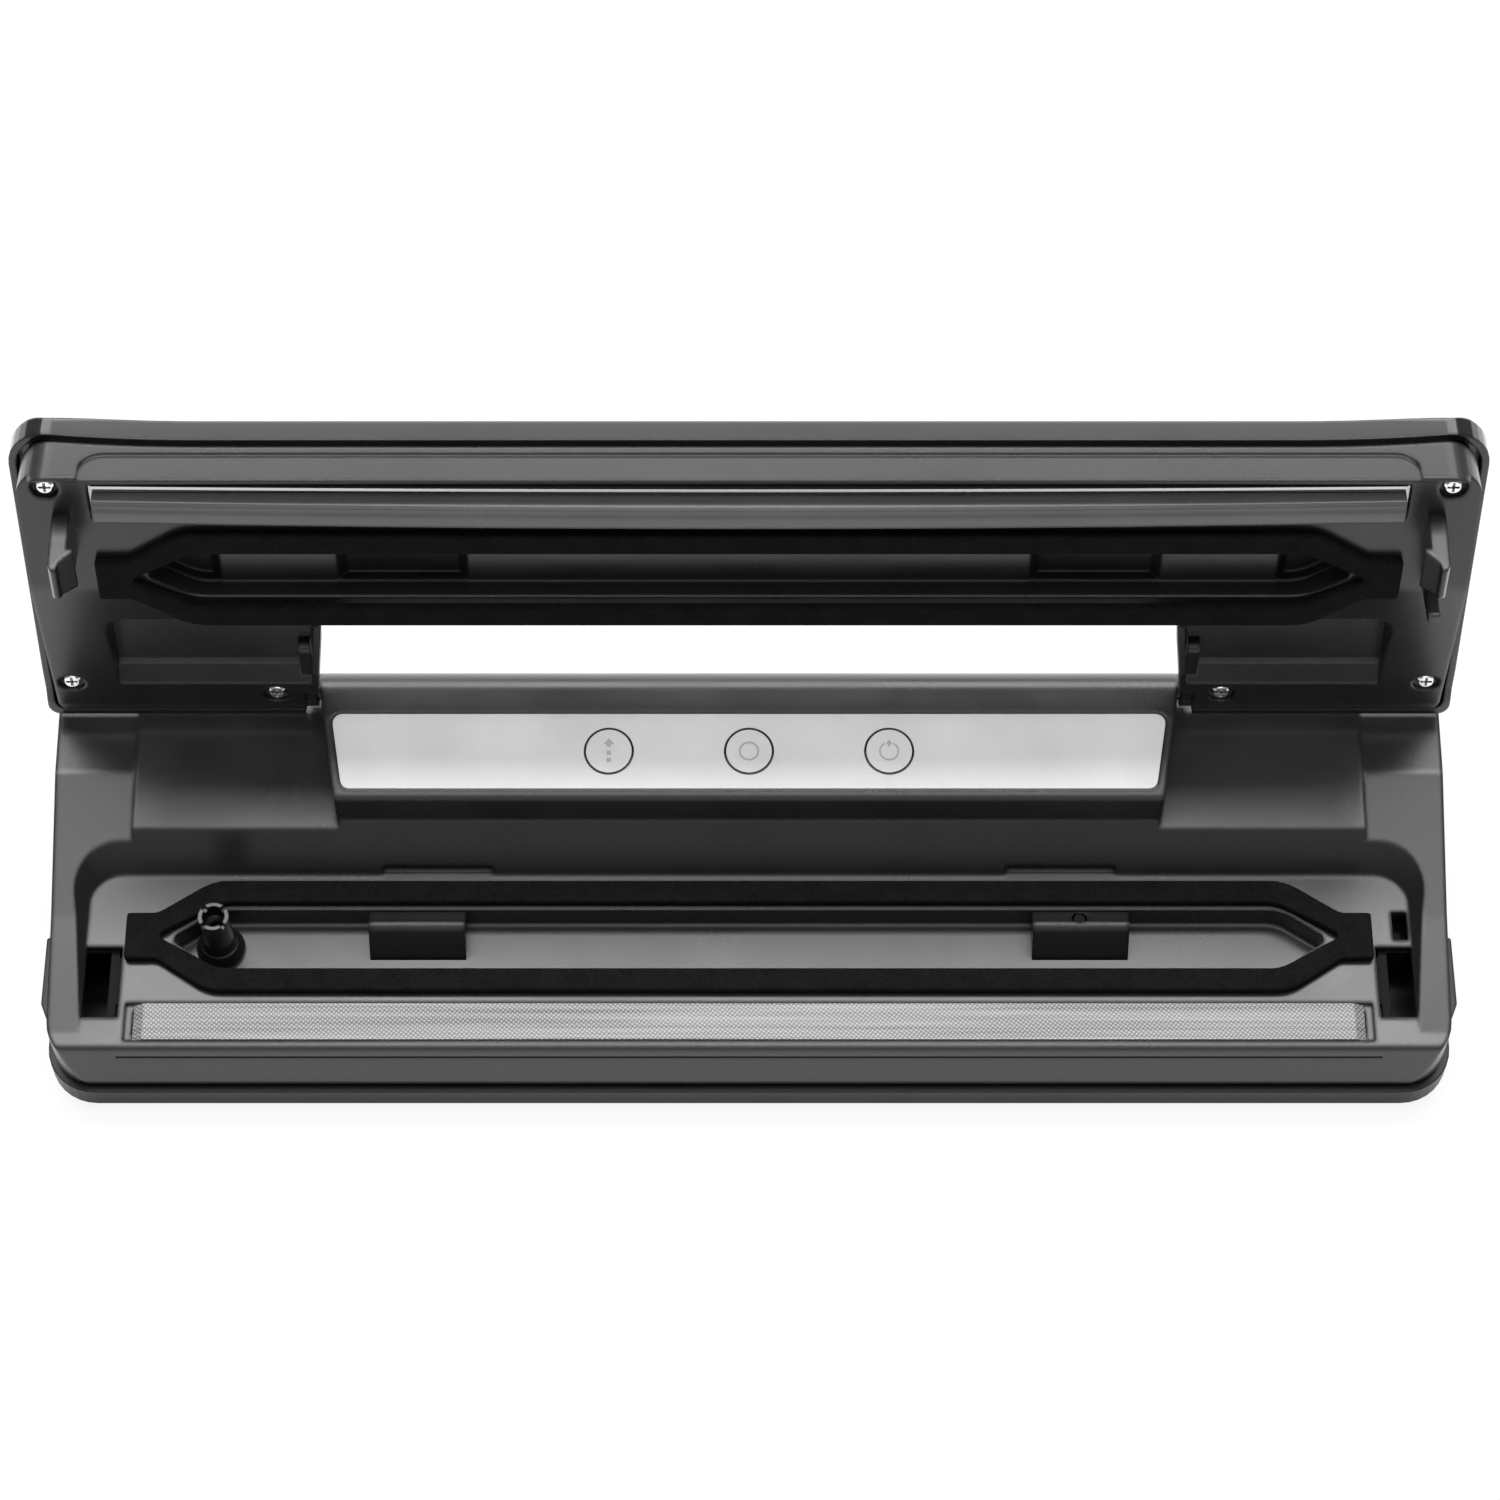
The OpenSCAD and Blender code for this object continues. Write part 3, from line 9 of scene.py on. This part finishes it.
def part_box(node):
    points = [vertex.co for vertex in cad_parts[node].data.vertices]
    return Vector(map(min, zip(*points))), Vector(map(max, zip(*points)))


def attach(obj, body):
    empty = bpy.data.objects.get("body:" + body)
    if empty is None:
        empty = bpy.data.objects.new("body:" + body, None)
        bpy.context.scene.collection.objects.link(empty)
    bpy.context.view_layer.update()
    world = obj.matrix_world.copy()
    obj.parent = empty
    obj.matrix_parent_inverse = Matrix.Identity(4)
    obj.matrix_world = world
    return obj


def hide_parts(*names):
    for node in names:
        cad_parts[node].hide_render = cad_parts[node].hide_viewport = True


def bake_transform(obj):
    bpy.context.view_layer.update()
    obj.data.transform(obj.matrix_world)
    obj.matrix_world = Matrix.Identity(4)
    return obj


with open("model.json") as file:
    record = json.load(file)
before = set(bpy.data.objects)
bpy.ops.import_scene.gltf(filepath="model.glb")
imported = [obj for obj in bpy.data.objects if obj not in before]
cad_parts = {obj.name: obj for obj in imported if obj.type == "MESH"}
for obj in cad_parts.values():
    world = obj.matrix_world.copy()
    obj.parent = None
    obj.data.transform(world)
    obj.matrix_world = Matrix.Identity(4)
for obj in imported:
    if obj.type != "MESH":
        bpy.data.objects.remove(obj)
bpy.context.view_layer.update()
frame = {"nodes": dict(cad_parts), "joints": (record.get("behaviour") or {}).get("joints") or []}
nodes = frame["nodes"]
MM = 0.001

# ---------------------------------------------------------------- camera
LENS_MM = 97.68
CAMERA_FROM_HINGE_MM = (0.27, -553.2, 968.9)
CAMERA_TILT_DEG = 28.92

hinge = Vector(next(j["pos_m"] for j in frame["joints"] if j["name"] == "lid_hinge"))
cam = bpy.data.objects.new("camera", bpy.data.cameras.new("camera"))
bpy.context.scene.collection.objects.link(cam)
cam.data.sensor_width = 36
cam.data.lens = LENS_MM
cam.data.clip_end = 20
cam.location = hinge + Vector(CAMERA_FROM_HINGE_MM) * MM
cam.rotation_euler = (math.radians(CAMERA_TILT_DEG), 0, 0)
bpy.context.scene.camera = cam

# The lid is laid out as if closed, with the hinge as its origin; to_lid swings it open.
LID_OPEN_DEG = 103.15
to_lid = Matrix.Translation(hinge) @ Matrix.Rotation(-math.radians(LID_OPEN_DEG), 4, "X")


# ---------------------------------------------------------------- materials
def new_material(name):
    """An empty material: itself, its node tree and its Principled shader."""
    m = bpy.data.materials.new(name)
    m.use_nodes = True
    t = m.node_tree
    t.nodes.clear()
    out = t.nodes.new("ShaderNodeOutputMaterial")
    p = t.nodes.new("ShaderNodeBsdfPrincipled")
    t.links.new(p.outputs[0], out.inputs[0])
    return m, t, p


def add(t, kind, inputs=None, **settings):
    """A new node. inputs names its sockets' values, settings its own properties."""
    n = t.nodes.new(kind)
    for key, value in settings.items():
        setattr(n, key, value)
    for key, value in (inputs or {}).items():
        n.inputs[key].default_value = value
    return n


def object_coords(t):
    return add(t, "ShaderNodeTexCoord").outputs["Object"]


def noise(t, co, scale, detail=3.0, rough=0.5):
    n = add(t, "ShaderNodeTexNoise", {"Scale": scale, "Detail": detail, "Roughness": rough})
    t.links.new(co, n.inputs["Vector"])
    return n.outputs["Fac"]


def multiply_add(t, value, factor, addend):
    n = add(t, "ShaderNodeMath", {1: factor}, operation="MULTIPLY_ADD")
    t.links.new(value, n.inputs[0])
    t.links.new(addend, n.inputs[2])
    return n.outputs[0]


def ramp(t, fac, from_low, from_high, to_low, to_high):
    r = add(t, "ShaderNodeMapRange", {1: from_low, 2: from_high, 3: to_low, 4: to_high})
    t.links.new(fac, r.inputs[0])
    return r.outputs[0]


def colour_mix(t, fac, dark, light):
    m = add(t, "ShaderNodeMix", {6: (*dark, 1), 7: (*light, 1)}, data_type="RGBA")
    t.links.new(fac, m.inputs["Factor"])
    return m.outputs[2]


def bumped(t, p, height, strength, depth_mm, normal=None):
    b = add(t, "ShaderNodeBump", {"Strength": strength, "Distance": depth_mm * MM})
    t.links.new(height, b.inputs["Height"])
    if normal:
        t.links.new(normal, b.inputs["Normal"])
    t.links.new(b.outputs[0], p.inputs["Normal"])


def moulded(name, base, rough, spread=0.12, grain=2600, bump=0.12, edge=0.6, metal=0.0, spec=0.5, wear=0.04):
    """Moulded plastic or plain metal: soft tone drift, fine grain and edges rounded by `edge` mm.

    base is a grey level or a colour, spread its share of drift, wear the drift of the roughness.
    """
    m, t, p = new_material(name)
    co = object_coords(t)
    base = (base, base, base) if isinstance(base, (int, float)) else base
    drift = noise(t, co, 34, 4)
    fine = noise(t, co, grain, 2)
    tone = ramp(t, multiply_add(t, fine, 0.5, drift), 0.5, 1.0, 0, 1)
    dark = [c * (1 - spread) for c in base]
    light = [c * (1 + spread) for c in base]
    t.links.new(colour_mix(t, tone, dark, light), p.inputs["Base Color"])
    t.links.new(ramp(t, drift, 0.3, 0.7, rough - wear, rough + wear), p.inputs["Roughness"])
    p.inputs["Metallic"].default_value = metal
    p.inputs["Specular IOR Level"].default_value = spec
    rounded = add(t, "ShaderNodeBevel", {"Radius": edge * MM}, samples=6).outputs[0] if edge else None
    bumped(t, p, fine, bump, 0.06, rounded)
    return m


def foam_material():
    """Closed-cell foam: near-black, matt, with small open cells."""
    m, t, p = new_material("closed_cell_foam")
    co = object_coords(t)
    cells = add(t, "ShaderNodeTexVoronoi", {"Scale": 2300})
    t.links.new(co, cells.inputs["Vector"])
    drift = noise(t, co, 160, 4, 0.6)
    specks = ramp(t, multiply_add(t, cells.outputs["Distance"], 0.9, drift), 0.5, 1.3, 0, 1)
    t.links.new(colour_mix(t, specks, (0.0006,) * 3, (0.006,) * 3), p.inputs["Base Color"])
    p.inputs["Roughness"].default_value = 0.9
    p.inputs["Specular IOR Level"].default_value = 0.1
    bumped(t, p, cells.outputs["Distance"], 0.5, 0.1)
    return m


def tape_material():
    """Coated glass cloth: a fine plain weave laid on the bias, with stains drawn out along the strip."""
    m, t, p = new_material("woven_seal_tape")
    co = object_coords(t)
    bias = add(t, "ShaderNodeMapping", {"Rotation": (0, 0, math.radians(38))})
    t.links.new(co, bias.inputs["Vector"])
    weave = add(t, "ShaderNodeMath", operation="MULTIPLY")
    for i, axis in enumerate("XY"):
        threads = add(t, "ShaderNodeTexWave", {"Scale": 345, "Distortion": 0.4, "Detail": 1},
                      wave_type="BANDS", bands_direction=axis)
        t.links.new(bias.outputs[0], threads.inputs["Vector"])
        t.links.new(threads.outputs["Fac"], weave.inputs[i])
    drawn = add(t, "ShaderNodeMapping", {"Scale": (9, 700, 9)})
    t.links.new(co, drawn.inputs["Vector"])
    stain = noise(t, drawn.outputs[0], 1, 4, 0.6)
    tone = ramp(t, multiply_add(t, weave.outputs[0], 0.7, stain), 0.3, 1.1, 0, 1)
    t.links.new(colour_mix(t, tone, (0.02, 0.02, 0.02), (0.34, 0.34, 0.336)), p.inputs["Base Color"])
    p.inputs["Roughness"].default_value = 0.42
    bumped(t, p, weave.outputs[0], 0.35, 0.08)
    return m


charcoal = moulded("charcoal_plastic", 0.012, 0.29, bump=0.3, edge=1.9)
dark_liner = moulded("liner_plastic", 0.009, 0.29, bump=0.25, edge=1.3)
black = moulded("black_plastic", 0.005, 0.3, edge=0.8)
pan_black = moulded("tray_plastic", 0.004, 0.34, edge=0.8, spec=0.22)
port_black = moulded("port_plastic", 0.006, 0.26, edge=0.5, spec=0.4)
inner_black = moulded("satin_black", 0.003, 0.55, edge=0.4, spec=0.08)
gloss = moulded("lid_gloss_black", 0.006, 0.15, grain=1200, bump=0.03, edge=0.9, wear=0.006)
silver = moulded("silver_panel", 0.58, 0.45, spread=0.09, grain=3400, bump=0.4, edge=0.25, metal=0.15)
silver_button = moulded("silver_button", 0.58, 0.45, spread=0.07, grain=3400, bump=0.35, edge=0.3, metal=0.15)
steel = moulded("plain_steel", (0.5, 0.5, 0.51), 0.3, grain=900, bump=0.1, edge=0.15, metal=1.0)
dull_steel = moulded("bar_strip_steel", 0.5, 0.3, spread=0.05, grain=700, bump=0.08, edge=0.15, metal=1.0)
dark_steel = moulded("blackened_steel", 0.06, 0.35, grain=900, bump=0.1, edge=0.15, metal=1.0)
chrome = moulded("bright_steel", (0.78, 0.78, 0.79), 0.14, spread=0.04, grain=700, bump=0.05, edge=0.15,
                 metal=1.0)
bar_grey = moulded("bar_silicone", 0.075, 0.24, grain=1800, bump=0.06, edge=0.4)
ceramic = moulded("heat_proof_bed", 0.008, 0.6, edge=0.2, spec=0.2)
board_green = moulded("circuit_board", (0.02, 0.16, 0.07), 0.35, grain=1200, edge=0.1)
copper = moulded("varnished_copper", (0.35, 0.2, 0.09), 0.4, grain=900, bump=0.4, edge=0.2, metal=0.4)
cream = moulded("pump_plastic", (0.66, 0.65, 0.6), 0.4, edge=0.4)
hose = moulded("hose_rubber", (0.45, 0.45, 0.41), 0.5, edge=0.2)
rubber = moulded("foot_rubber", 0.012, 0.75, grain=1800, bump=0.4, edge=0.4)
foam = foam_material()
tape = tape_material()

LOOKS = (
    # base, outside
    (pan_black, "base_pan release_button_left release_button_right"),
    (charcoal, "base_housing channel_baffles"),
    (rubber, "feet"),
    (chrome, "pan_screws lid_screws"),
    (black, "power_inlet lid_switch"),
    (silver, "panel_plate"),
    (silver_button, "pulse_button seal_button vac_button"),
    (tape, "heater_tape"),
    (foam, "lower_gasket upper_gasket"),
    (port_black, "vacuum_port"),
    (inner_black, "pressure_sensor switch_plunger latch_slider_left latch_slider_right"),
    # base, inside
    (board_green, "panel_board main_board"),
    (ceramic, "heater_bed"),
    (steel, "heater_ribbon pump_motor plunger_spring latch_spring_left latch_spring_right"),
    (cream, "vacuum_pump"),
    (hose, "suction_hose"),
    (copper, "transformer"),
    # lid
    (dark_steel, "hinge_pins"),
    (gloss, "lid_shell"),
    (dark_liner, "lid_liner latch_hooks switch_finger"),
    (dull_steel, "bar_carrier"),
    (bar_grey, "pressure_bar"),
)
for material, names in LOOKS:
    for name in names.split():
        mesh = nodes[name].data
        mesh.materials.clear()
        mesh.materials.append(material)


# ---------------------------------------------------------------- pieces
def piece(name, mesh, material, body=None, replaces=None):
    """A new piece."""
    o = bpy.data.objects.new(name, mesh)
    bpy.context.scene.collection.objects.link(o)
    mesh.materials.clear()
    mesh.materials.append(material)
    if body:
        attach(o, body)
    if replaces:
        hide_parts(replaces)
    return o


def smooth_by_angle(mesh, degrees):
    bm = bmesh.new()
    bm.from_mesh(mesh)
    for f in bm.faces:
        f.smooth = True
    for e in bm.edges:
        e.smooth = len(e.link_faces) == 2 and e.calc_face_angle(0) < math.radians(degrees)
    bm.to_mesh(mesh)
    bm.free()


def tube_mesh(name, rings, smooth_deg):
    """Rings of vertices joined to a closed tube with an end face at either end."""
    bm = bmesh.new()
    rings = [[bm.verts.new(co) for co in ring] for ring in rings]
    n = len(rings[0])
    for a, b in zip(rings, rings[1:]):
        for k in range(n):
            bm.faces.new((a[k], a[(k + 1) % n], b[(k + 1) % n], b[k]))
    bm.faces.new(rings[0])
    bm.faces.new(list(reversed(rings[-1])))
    bmesh.ops.recalc_face_normals(bm, faces=bm.faces)
    mesh = bpy.data.meshes.new(name)
    bm.to_mesh(mesh)
    bm.free()
    smooth_by_angle(mesh, smooth_deg)
    return mesh


# foam gaskets
FOAM_VOXEL_MM = 0.55
FOAM_SMOOTHING = 7


def foam_piece(name, node, body, place):
    """The gasket's CAD solid turned into a strip with soft, rounded shoulders."""
    mesh = nodes[node].data.copy()
    mesh.transform(place.inverted())
    o = bpy.data.objects.new(name, mesh)
    bpy.context.scene.collection.objects.link(o)
    voxels = o.modifiers.new("voxels", "REMESH")
    voxels.mode = "VOXEL"
    voxels.voxel_size = FOAM_VOXEL_MM * MM
    soften = o.modifiers.new("soften", "SMOOTH")
    soften.factor = 0.5
    soften.iterations = FOAM_SMOOTHING
    bpy.context.view_layer.update()
    done = bpy.data.meshes.new_from_object(o.evaluated_get(bpy.context.evaluated_depsgraph_get()))
    bpy.data.objects.remove(o)
    done.transform(place)
    for f in done.polygons:
        f.use_smooth = True
    piece(name, done, foam, body, node)


foam_piece("foam_strip_base", "lower_gasket", "base", Matrix.Identity(4))
foam_piece("foam_strip_lid", "upper_gasket", "lid", to_lid)

# pressure bar: out from the hinge and down from it, with the lid closed
BAR_HALF_MM = 167.3
BAR_CROWN_MM = 2.2
BAR_OUT_MM = (84.6, 92.6)
BAR_ROOT_MM = 16.5
BAR_WALL_MM = 20.2
SHOULDER_R_MM = 1.6
SHOULDER_DOWN_MM = (20.9, 20.6)
VALLEY_MM = [(88.2, 22.7), (89.4, 22.55), (90.0, 22.3)]
BAR_STEPS = 64


def bar_section():
    """Cross-section of the bar as (out, down): two rounded shoulders with a shallow valley between them."""
    near, far = BAR_OUT_MM
    pts = [(near, BAR_ROOT_MM), (near, BAR_WALL_MM)]
    for deg in range(0, 91, 15):
        a = math.radians(deg)
        pts.append((near + SHOULDER_R_MM - SHOULDER_R_MM * math.cos(a),
                    SHOULDER_DOWN_MM[0] + SHOULDER_R_MM * math.sin(a)))
    pts += VALLEY_MM
    for deg in range(90, -1, -15):
        a = math.radians(deg)
        pts.append((far - SHOULDER_R_MM + SHOULDER_R_MM * math.cos(a),
                    SHOULDER_DOWN_MM[1] + SHOULDER_R_MM * math.sin(a)))
    return pts + [(far, BAR_WALL_MM), (far, BAR_ROOT_MM)]


def pressure_bar():
    """The bar's section run along X. Its root stays straight, its face is crowned towards the middle."""
    rings = []
    for i in range(BAR_STEPS + 1):
        t = 2 * i / BAR_STEPS - 1
        rise = BAR_CROWN_MM * t * t
        rings.append([to_lid @ (Vector((BAR_HALF_MM * t, -out, -(down if down == BAR_ROOT_MM else down - rise))) * MM)
                      for out, down in bar_section()])
    piece("sealing_bar_profile", tube_mesh("sealing_bar_profile", rings, 50), bar_grey, "lid",
          "pressure_bar")


pressure_bar()

# latch springs
COIL_TURNS = 7
COIL_WIRE = 0.3 * MM
STEPS_PER_TURN = 20
WIRE_SIDES = 8
CLOSE_ENDS = 0.4


def latch_coil(side_name, side):
    """A latch spring as a wound wire along X, between the base's rib and the slider that it pushes."""
    node = "latch_spring_" + side_name
    lo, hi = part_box(node)
    middle = (lo + hi) / 2
    along = Vector((side, 0, 0))
    across = Vector((0, 1, 0))
    third = along.cross(across)
    half = (hi.x - lo.x) / 2
    radius = (hi.y - lo.y) / 2 - COIL_WIRE
    steps = COIL_TURNS * STEPS_PER_TURN
    rings = []
    for i in range(steps + 1):
        t = i / steps
        turn = 2 * math.pi * COIL_TURNS * t
        out = across * math.cos(turn) + third * math.sin(turn)
        rise = 2 * (t - CLOSE_ENDS * math.sin(2 * math.pi * t) / (2 * math.pi)) - 1
        centre = middle + along * ((half - COIL_WIRE) * rise) + out * radius
        rings.append([centre + (out * math.cos(a) + along * math.sin(a)) * COIL_WIRE
                      for a in (2 * math.pi * k / WIRE_SIDES for k in range(WIRE_SIDES))])
    name = "latch_coil_" + side_name
    o = piece(name, tube_mesh(name, rings, 60), steel, replaces=node)
    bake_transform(o)


latch_coil("left", -1)
latch_coil("right", 1)

# rings of painted shade at the push buttons' edges, standing for the dark gap to the panel, and the icons' print, in
# mm on the panel
PANEL_FROM_HINGE_MM = (0, -19.9, 3.0)
PANEL_TILT_DEG = 8.6
PRINT_OR_SHADE_LIFT_MM = 0.07
PRINT_OR_SHADE_THICK_MM = 0.03
# the ring at each button's edge is painted shade, a dark line for the shadowed gap between button and panel
GAP_SHADE_RING_MM = (6.2, 6.54)
ICON_RING_MM = (2.25, 2.75)
BUTTON_X_MM = {"pulse": -38, "seal": 0, "vac": 38}
ARROW = [(-0.62, 1.25), (-0.62, 2.0), (-1.5, 2.0), (0, 3.7), (1.5, 2.0), (0.62, 2.0), (0.62, 1.25)]

icon_grey = moulded("icon_print", 0.36, 0.5, edge=0)
# painted shade: near-black paint for the gap around each button
gap_shade_black = moulded("gap_shade_paint", 0.003, 0.6, edge=0, spec=0.1)
on_panel = (Matrix.Translation(hinge + Vector(PANEL_FROM_HINGE_MM) * MM)
            @ Matrix.Rotation(math.radians(PANEL_TILT_DEG), 4, "X"))


def print_or_shade_mark(button, what, shapes, material):
    """Thin print, or a thin line of painted shade, on a button. A shape is one outline, or an outer and an inner one
    with as many points.
    """
    name = button + "_" + what
    bm = bmesh.new()

    def strip(path_a, path_b):
        n = len(path_a)
        for k in range(n):
            bm.faces.new((path_a[k], path_a[(k + 1) % n], path_b[(k + 1) % n], path_b[k]))

    for outlines in shapes:
        low, high = ([[bm.verts.new((x, y, z)) for x, y in path] for path in outlines]
                     for z in (0, PRINT_OR_SHADE_THICK_MM))
        for level in (low, high):
            if len(level) == 1:
                bm.faces.new(level[0])
            else:
                strip(*level)
        for path_low, path_high in zip(low, high):
            strip(path_low, path_high)
    bmesh.ops.recalc_face_normals(bm, faces=bm.faces)
    mesh = bpy.data.meshes.new(name)
    bm.to_mesh(mesh)
    bm.free()
    mesh.transform(Matrix.Scale(MM, 4))
    mesh.transform(on_panel @ Matrix.Translation(Vector((BUTTON_X_MM[button], 0, PRINT_OR_SHADE_LIFT_MM)) * MM))
    piece(name, mesh, material, button + "_button_body")


def arc(r, start_deg, end_deg, steps):
    angles = [math.radians(start_deg + (end_deg - start_deg) * i / steps) for i in range(steps + 1)]
    return [(r * math.cos(a), r * math.sin(a)) for a in angles]


def full_ring(r_in, r_out):
    return [arc(r_out, 0, 360, 48)[:-1], arc(r_in, 0, 360, 48)[:-1]]


def open_ring(r_in, r_out, start_deg, end_deg):
    return [arc(r_out, start_deg, end_deg, 28) + arc(r_in, start_deg, end_deg, 28)[::-1]]


def square(half, y):
    return [[(-half, y - half), (half, y - half), (half, y + half), (-half, y + half)]]


# painted shade: a black ring on each button's edge darkens the gap to the panel
for button in BUTTON_X_MM:
    print_or_shade_mark(button, "button_gap_shade_ring", [full_ring(*GAP_SHADE_RING_MM)], gap_shade_black)
print_or_shade_mark("pulse", "icon", [[ARROW], square(0.6, -0.5), square(0.6, -2.6)], icon_grey)
print_or_shade_mark("seal", "icon", [full_ring(*ICON_RING_MM)], icon_grey)
small_arrow = [(x * 0.6, y * 0.8 + 0.4) for x, y in ARROW]
print_or_shade_mark("vac", "icon", [open_ring(*ICON_RING_MM, 118, 422), [small_arrow]], icon_grey)

# ---------------------------------------------------------------- floor and light
ROOM_LIGHT = 0.25    # strength of the world that lights the object
FLOOR_HALF_M = 6.0
FLOOR_GLOW = 0.88    # share of plain white in the floor as the camera sees it; the rest holds the shadow


def make_world():
    """White to the camera and through clear pieces, dim as light."""
    world = bpy.data.worlds.new("studio")
    bpy.context.scene.world = world
    world.use_nodes = True
    t = world.node_tree
    t.nodes.clear()
    out = add(t, "ShaderNodeOutputWorld")
    path = add(t, "ShaderNodeLightPath")
    dim = add(t, "ShaderNodeBackground", {0: (1, 1, 1, 1), 1: ROOM_LIGHT})
    white = add(t, "ShaderNodeBackground", {0: (1, 1, 1, 1), 1: 1.0})
    seen = add(t, "ShaderNodeMath", operation="MAXIMUM")
    t.links.new(path.outputs["Is Camera Ray"], seen.inputs[0])
    t.links.new(path.outputs["Is Transmission Ray"], seen.inputs[1])
    mix = add(t, "ShaderNodeMixShader")
    t.links.new(seen.outputs[0], mix.inputs[0])
    t.links.new(dim.outputs[0], mix.inputs[1])
    t.links.new(white.outputs[0], mix.inputs[2])
    t.links.new(mix.outputs[0], out.inputs[0])


def make_floor():
    mesh = bpy.data.meshes.new("floor")
    s = FLOOR_HALF_M
    mesh.from_pydata([(-s, -s, 0), (s, -s, 0), (s, s, 0), (-s, s, 0)], [], [(0, 1, 2, 3)])
    o = bpy.data.objects.new("floor", mesh)
    bpy.context.scene.collection.objects.link(o)
    m, t, p = new_material("pale_floor")
    p.inputs["Base Color"].default_value = (0.82, 0.82, 0.82, 1)
    p.inputs["Roughness"].default_value = 0.8
    glow = add(t, "ShaderNodeEmission", {1: 1.0})
    path = add(t, "ShaderNodeLightPath")
    share = add(t, "ShaderNodeMath", {1: FLOOR_GLOW}, operation="MULTIPLY")
    t.links.new(path.outputs["Is Camera Ray"], share.inputs[0])
    mix = add(t, "ShaderNodeMixShader")
    t.links.new(share.outputs[0], mix.inputs[0])
    t.links.new(p.outputs[0], mix.inputs[1])
    t.links.new(glow.outputs[0], mix.inputs[2])
    t.links.new(mix.outputs[0], t.nodes["Material Output"].inputs[0])
    mesh.materials.append(m)


def softbox(name, place, size, power):
    """An area lamp of size (wide, high) in metres and power in watts, turned to the middle of the object."""
    light = bpy.data.lights.new(name, "AREA")
    light.shape = "RECTANGLE"
    light.size, light.size_y = size
    light.energy = power
    o = bpy.data.objects.new(name, light)
    bpy.context.scene.collection.objects.link(o)
    o.location = place
    o.rotation_euler = (Vector((0, 0, 0.05)) - Vector(place)).to_track_quat("-Z", "Y").to_euler()


make_world()
make_floor()
softbox("high_box", (0, 0.66, 1.75), (2.4, 0.5), 45)
softbox("top_box", (0, -0.2, 1.95), (2.4, 0.7), 23)
softbox("back_box", (0, 2.0, 0.85), (2.4, 0.7), 32)
softbox("front_box", (0, -1.5, 1.2), (1.6, 0.8), 5)
bpy.context.scene.view_settings.view_transform = "Standard"
